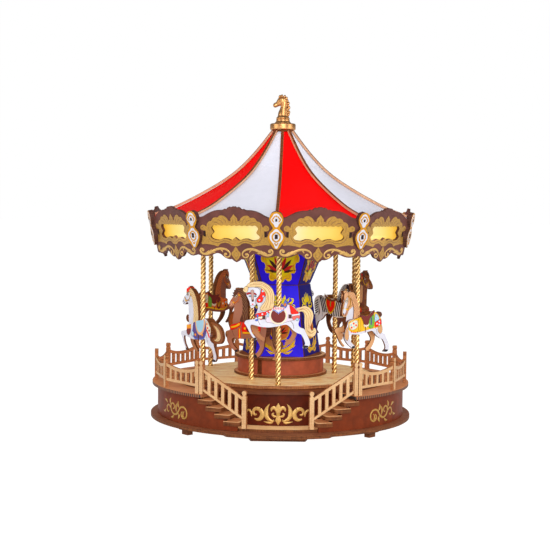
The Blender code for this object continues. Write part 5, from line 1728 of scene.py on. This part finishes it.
def dress_zebra(side):
    """Stripes under a yellow and red rug."""
    for index in range(15):
        u = 20.0 - 2.75 * index
        lean = 3.4 if index > 8 else -2.2
        low = -6.4 if u > -6 else -3.6
        side.line([(u, 8.6 + max(0, -u) * 0.2), (u + lean, 2.4), (u + lean * 1.6, low)], 0.95, "ink", 1, 0.1)
    side.patch([(6.0, 9.6), (0, 10.2), (-7.4, 12.4), (-8.2, 3.8), (-1.6, -4.8), (5.4, 1.6)], "yellow", 2)
    side.patch([(5.0, 8.6), (0.4, 9.2), (-6.4, 10.8), (-7.0, 4.2), (-1.6, -2.8), (4.4, 2.2)], "red", 3)
    side.line([(-1.0, 9.0), (-1.2, 3.0)], 0.7, "green", 4)
    seat = [(8.6, 11.2), (0, 10.0), (-8.6, 13.4), (-10.4, 15.4), (-8.4, 11.2), (-2, 8.4), (6.0, 8.8)]
    side.patch(seat, "seat", 5)


# Head, near legs, far legs, turn and shift of each horse in pole order, as in the CAD, then its dress, the
# tints of its coat, head, legs, mane and bridle, and its slot
REACHING, TUCKED = "reaching stretched", "folded tucked"
PAWING, FAR_PAWING = "folded stretched", "reaching tucked"
PINTO_TINTS = "white tan tan sand maroon"
PURPLE_TINTS = "white white leg mane maroon"
ORANGE_TINTS = "chestnut chestnut dark_leg auburn orange"
HORSES = [
    ("facing", REACHING, TUCKED, 0.0, 0.0, dress_front, "white white leg mane red", "horse_white_paint"),
    ("arched", PAWING, FAR_PAWING, -25.0, -7.0, dress_pinto, PINTO_TINTS, "horse_pinto_paint"),
    ("raised", TUCKED, REACHING, 0.0, 0.0, dress_girth, "bay bay dark_leg sable yellow", "horse_brown_paint"),
    ("raised", REACHING, TUCKED, 0.0, 0.0, dress_purple, PURPLE_TINTS, "horse_white_paint"),
    ("profile", TUCKED, REACHING, -8.0, 0.0, dress_orange, ORANGE_TINTS, "horse_brown_paint"),
    ("raised", REACHING, TUCKED, 10.0, 0.0, dress_purple, PURPLE_TINTS, "horse_white_paint"),
    ("bowed", TUCKED, REACHING, 0.0, 0.0, dress_girth, "rose rose leg sable orange", "horse_brown_paint"),
    ("low", TUCKED, REACHING, 38.0, 0.0, dress_zebra, "stone stone dark_leg ink seat", "zebra_paint"),
    ("profile", REACHING, TUCKED, 0.0, 0.0, dress_orange, "tan tan leg auburn maroon", "horse_pinto_paint"),
]
HEAD_TOPS = {"facing": 35.2, "arched": 32.6, "raised": 42.2, "profile": 36.5, "bowed": 41.8, "low": 26.6}
BLAZED, PATCHED, CURLED, CRESTED, ZEBRA = 2, 3, 6, 7, 8
TAILS = {BLAZED: (DOCKED_TAIL, "sable"), CURLED: (CURLED_TAIL, "auburn_dark"), ZEBRA: (TAIL, "stone")}
TUFTS = [
    (-1.6, 0.4), (-0.6, 4.4), (1.0, 2.2), (2.4, 4.9), (3.6, 2.0), (5.4, 4.3), (6.0, 1.6), (8.8, 2.9),
    (7.4, 0.6), (3.0, -0.4),
]
FORELOCK = [(-1.8, 1.8), (0.6, 3.6), (4.2, 2.8), (6.2, 0.9), (3.2, 0.2), (0, -0.6)]
BLAZE = [(2.4, 0.4), (9.0, 0.1), (15.6, -0.6), (17.2, -2.4), (14.6, -3.6), (9.0, -2.6), (4.0, -2.2)]
NECK_PATCH = [(13.2, 11), (18.4, 11), (19.2, 20), (19.4, 28), (17, 31), (14.6, 25), (13, 18)]
CURLED_HAIRS = [
    [(-21.4, 7.6), (-27, 5.4), (-30, 0.8), (-29.6, -3.6), (-25.4, -5.6)],
    [(-22.4, 6.4), (-26.6, 3.6), (-28.2, -0.4), (-27, -4)],
]
STRANDS = {"mane": "strand", "auburn": "orange", "sable": "strand", "ink": "stone", "sand": "strand"}


def clipped(loop, limit, ahead):
    """The part of a loop on one side of an upright line."""
    result = []
    for (u, v), (p, q) in zip(loop, loop[1:] + loop[:1]):
        if (u > limit) == ahead:
            result.append((u, v))
        if (u > limit) != (p > limit):
            share = (limit - u) / (p - u)
            result.append((limit, v + (q - v) * share))
    return result


def on_head(poll, tilt, size):
    """Maps (along the nose, above it) to (forward, up)."""
    c, s = size * math.cos(math.radians(tilt)), size * math.sin(math.radians(tilt))
    return lambda points: [(poll[0] + u * c - v * s, poll[1] + u * s + v * c) for u, v in points]


def along_line(points, share):
    """A point on a broken line at a share of its count of points."""
    place = share * (len(points) - 1)
    index = min(int(place), len(points) - 2)
    return tuple(a + (b - a) * (place - index) for a, b in zip(points[index], points[index + 1]))


def dress_mane(sheet, mane, tint):
    """Strands that sweep back and down from the neck to the mane's edge."""
    half = len(mane) // 2 + 1
    outer, inner = mane[1:half], list(reversed(mane[half:]))
    for index in range(9):
        share = 0.12 + 0.1 * index
        root = along_line(inner, min(1.0, share + 0.06))
        tip = along_line(outer, share - 0.08)
        middle = ((root[0] + tip[0]) / 2 - 0.5, (root[1] + tip[1]) / 2 + 1.3)
        sheet.line([root, middle, tip], 0.2, tint, 1)


def dress_head(sheet, at, coat, bridle, striped):
    """An eye, a nostril, a mouth, a cheek and a bridle."""
    if striped:
        for x in (1.6, 4.0, 6.4, 8.8, 11.2, 13.6):
            sheet.line(at([(x, 1.2), (x - 0.8, -2.4), (x + 0.2, -6.0)]), 0.42, "ink", 1, 0.1)
    for path in BRIDLE:
        sheet.line(at(path), 0.55, bridle, 2)
        sheet.line(at(path), 0.18, "yellow" if bridle == "maroon" else "maroon", 3)
    for centre in at([(1.6, -3.2), (12.2, -3.6), (0.8, -8.2)]):
        sheet.dot(centre, 0.8, "yellow", 4)
    if coat not in ("white", "stone"):
        sheet.patch(at([(12.6, -0.6), (16.8, -1.2), (18.0, -3.0), (16.6, -4.8), (13.0, -5.2)]), "nose", 1)
    sheet.patch(at([(3.4, -1.2), (5.2, -0.3), (7.2, -1.0), (5.4, -2.2)]), "cream", 3)
    eye, nostril = at([(5.3, -1.2), (16.6, -1.8)])
    sheet.dot(eye, 0.62, "ink", 4)
    sheet.line(at([(3.0, 0.0), (5.4, 0.7), (7.6, -0.1)]), 0.22, "ink", 2)
    sheet.dot(nostril, 0.55, "ink", 3)
    sheet.line(at([(17.9, -4.0), (15.8, -4.2), (13.6, -3.9)]), 0.22, "ink", 2)
    sheet.line(at([(6.4, -8.2), (8.6, -6.6), (9.2, -4.4)]), 0.2, "outline", 1)


def mark_patched(neck, skull, at):
    """A pale patch on the neck, and a red and orange headdress."""
    neck.patch(NECK_PATCH, "peach", 1)
    crown, cheek = at([(-0.4, -0.6), (1.8, -3.2)])
    skull.dot(crown, 1.3, "red", 7)
    skull.dot(cheek, 1.7, "orange", 7)


def mark_blazed(neck, skull, at):
    """A white blaze along the nose."""
    skull.patch(at(BLAZE), "white", 2)


def mark_zebra(neck, skull, at):
    """Stripes over the tail, which is of one sheet with the neck."""
    for v in (7.0, 4.6, 2.2, -0.2, -2.6, -5.0):
        neck.line([(-24.9, v + 1.4), (-27.4, v), (-30.0, v - 1.2)], 0.55, "ink", 2)


MARKS = {PATCHED: mark_patched, BLAZED: mark_blazed, ZEBRA: mark_zebra}


def dress_tail(sheet, tail, strand):
    """Hairs on a full tail, and a paler face with hairs on a curled one."""
    if tail is TAIL:
        sheet.lines(TAIL_HAIRS, 0.24, strand)
    if tail is CURLED_TAIL:
        sheet.patch(TAIL_FACE, "mane", 2)
        sheet.lines(CURLED_HAIRS, 0.24, "strand", 3)


def make_horse(index):
    """A thick trunk, a head and a tail of one sheet in its middle, and a sheet of legs on each side."""
    head, near_legs, far_legs, turn, shift, dress, tints, slot = HORSES[index]
    coat, face, leg, mane_tint, bridle = tints.split()
    label = index + 1
    strand = STRANDS[mane_tint]
    ring, degrees = POLE_PLACES[index]
    angle = math.radians(180 + degrees + turn)
    ahead, out = Vector((math.cos(angle), math.sin(angle), 0)), Vector((-math.sin(angle), math.cos(angle), 0))
    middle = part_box(f"horse_{label}")[1][2] / MM - HEAD_TOPS[head]
    centre = polar(ring, degrees, middle)
    shape = Shape()

    def near(u, v, h):
        return centre + ahead * (u + shift) + out * h + Vector((0, 0, v))

    def far(u, v, h):
        return near(u, v, -h)

    def cut(loop, half, tint):
        shape.plate([loop], near, -half, half, INKS[tint], EDGE)

    trunk = rounded(BACK + [(20.9, 2.5), (20.0, -3.5)] + BELLY + [(-12.6, -5.2), (-18.2, -3.4)])
    for limit, forward in ((SLOT_HALF - shift, True), (-SLOT_HALF - shift, False)):
        cut(clipped(trunk, limit, forward), CORE_HALF, coat)
    tail, tail_tint = TAILS.get(label, (TAIL, mane_tint))
    cut(rounded(tail), NECK_HALF, tail_tint)
    cut(rounded(NECKS[head]), NECK_HALF, coat)
    if head != "facing":
        mane, poll, tilt, size = HEADS[head]
        at = on_head(poll, tilt, size)
        cut(rounded(at(SKULL)), SKULL_HALF, face)
        cut(rounded(at(EAR)), SKULL_HALF + 0.4, face)
        cut(rounded(mane), MANE_HALF, mane_tint)
        if label == CRESTED:
            cut(at(TUFTS), MANE_HALF, "umber")
        if dress is dress_purple:
            for spot, radius in zip(at([(2.2, 2.0), (-0.8, 2.2)]), (2.0, 1.4)):
                half = MANE_HALF + radius * 0.2
                shape.plate([circle(spot, radius, 20)], near, -half, half, INKS["red"], INKS["red"])
    for place, legs in ((near, near_legs), (far, far_legs)):
        fore, hind = legs.split()
        outline = rounded(LEGS[fore] + BELLY + LEGS[hind] + BACK)
        # The inner face of each leg sheet wears the leg tint: unpainted wood with painted shade
        shape.plate([outline], place, CORE_HALF, BODY_HALF, INKS[coat], EDGE, INKS[leg])
        side = Side(shape, place, BODY_HALF)
        for name in (fore, hind):
            side.patch(HOOVES[name], "ink", 1, False)
        side.lines(MUSCLES, 0.2, "outline", 1)
        dress(side)
        neck, skull = Side(shape, place, NECK_HALF), Side(shape, place, SKULL_HALF)
        dress_tail(neck, tail, strand)
        if head == "facing":
            dress_head_facing(neck)
            continue
        dress_head(skull, at, face, bridle, label == ZEBRA)
        dress_mane(Side(shape, place, MANE_HALF), mane, strand)
        if label in MARKS:
            MARKS[label](neck, skull, at)
        skull.patch(at(FORELOCK), mane_tint, 6)
    shape.finish(f"horse_{label}", f"mount_{label}", slot)


# Ornament on the base

FLEUR = [
    [(0, 24.0, 1.6), (0, 28.3, 3.1), (0, 30.6, 2.2), (0, 34.0, 0.1)],
    [(0, 23.4, 1.0), (0, 18.2, 2.7), (0, 16.4, 1.9), (0, 13.4, 0.1)],
    [(0.8, 25.4, 0.7), (3.6, 29.6, 1.5), (6.0, 28.6, 1.3), (6.4, 26.2, 0.3)],
    [(0.8, 21.8, 0.6), (3.8, 21.6, 1.1), (5.4, 23.6, 0.9), (4.0, 24.8, 0.4)],
    [
        (8.0, 33.2, 0.1), (10.4, 29.4, 1.3), (11.4, 24.8, 2.1), (10.2, 20.4, 1.8), (6.8, 17.6, 1.2),
        (3.2, 17.4, 0.1),
    ],
    [(4.0, 19.2, 0.1), (5.8, 15.8, 0.8), (9.4, 15.8, 0.9), (13.6, 16.8, 0.1)],
    [(22.0, 19.0, 0.6), (18.8, 18.2, 1.4), (15.8, 20.2, 2.0), (14.9, 24.2, 2.0), (17.2, 27.8, 1.9)],
    [(17.2, 27.8, 1.9), (21.0, 28.4, 1.6), (23.5, 25.6, 1.3), (22.2, 22.8, 1.1), (19.8, 23.2, 0.6)],
    [(24.9, 21.0, 0.4), (25.4, 24.6, 1.1), (28.0, 27.2, 0.8), (29.2, 25.0, 0.3)],
]


def spiral(centre, outer, inner, start, end, wide, thin):
    """The points of a volute that winds inward, each with the stroke's half width."""
    count = max(4, int(abs(end - start) / 24))
    points = []
    for i in range(count + 1):
        share = i / count
        angle = math.radians(start + (end - start) * share)
        radius = outer + (inner - outer) * share
        spot = (centre[0] + radius * math.cos(angle), centre[1] + radius * math.sin(angle))
        points.append((*spot, wide + (thin - wide) * share))
    return points


SCROLL = [
    spiral((-8.2, 19.6), 7.4, 2.0, 160, -250, 0.95, 0.75),
    [(-15.2, 22.0, 0.9), (-18.4, 18.6, 1.1), (-23.0, 17.4, 1.0), (-27.4, 19.2, 0.9), (-29.6, 22.4, 0.9)],
    spiral((-25.4, 24.2), 4.6, 1.5, 195, -90, 0.9, 0.6),
    spiral((-35.2, 20.6), 5.2, 1.5, 20, 330, 0.9, 0.6),
    [(-6.6, 18.0, 0.2), (-8.8, 16.4, 0.9), (-8.0, 21.0, 0.7), (-6.0, 22.2, 0.2)],
    [(-15.8, 19.4, 0.1), (-14.8, 16.6, 1.5), (-16.4, 13.4, 0.1)],
    [(-14.0, 24.4, 0.1), (-16.6, 27.0, 1.4), (-16.0, 31.0, 0.1)],
    [(-19.2, 19.6, 0.1), (-20.2, 24.4, 1.3), (-18.6, 28.6, 0.1)],
    [(-30.2, 25.8, 0.1), (-31.4, 29.4, 1.3), (-29.4, 32.4, 0.1)],
    [(-24.0, 16.8, 0.1), (-26.2, 14.2, 1.3), (-30.2, 13.8, 0.1)],
    [(-37.0, 26.4, 0.1), (-40.0, 28.8, 1.3), (-43.6, 29.0, 0.1)],
    [(-40.6, 20.2, 0.2), (-43.6, 17.6, 1.2), (-47.6, 17.8, 0.1)],
]
SCROLL_ANGLES = (-43.0, -98.6, -154.2)


def make_base_gilding():
    """Gold scrolls on the recess and, in pairs round the drum, on the outer wall."""
    shape = Shape()
    place = around(RECESS_OUTER, 0)
    add_motif(shape, place, FLEUR, 0.0, PALE_GOLD_INK, -0.03, 0.3)
    shape.plate([circle((0, 23.6), 1.7, 16)], place, 0.0, 0.5, GOLD_INK, SHADE_INK)
    shape.done("recess_gilding", "base", "drum_paint")
    shape = Shape()
    for degrees in SCROLL_ANGLES:
        for side in (1, -1):
            place = around(DRUM_RADIUS, degrees * side)
            for path in SCROLL:
                stroke = [(u * side, v, w) for u, v, w in path]
                shape.ribbon(stroke, place, -0.03, 0.3, GOLD_INK)
    shape.done("drum_gilding", "base", "drum_paint")


set_camera()
set_stage()
make_base_plate()
make_landing()
make_treads()
make_drum()
make_recess()
make_deck()
make_railings()
make_turntable()
make_pedestal()
make_poles()
for index in range(len(HORSES)):
    make_horse(index)
make_roof()
make_cap()
make_finial()
make_fascia()
make_ornaments()
make_window_band()
make_column()
make_base_gilding()
# The ceiling plate wears the dark brown of painted shade
fit_material("ceiling_plate", CEILING_DARK)
for foot in ("front_foot", "foot_front_left", "foot_front_right", "foot_back_left", "foot_back_right"):
    fit_material(foot, EDGE)
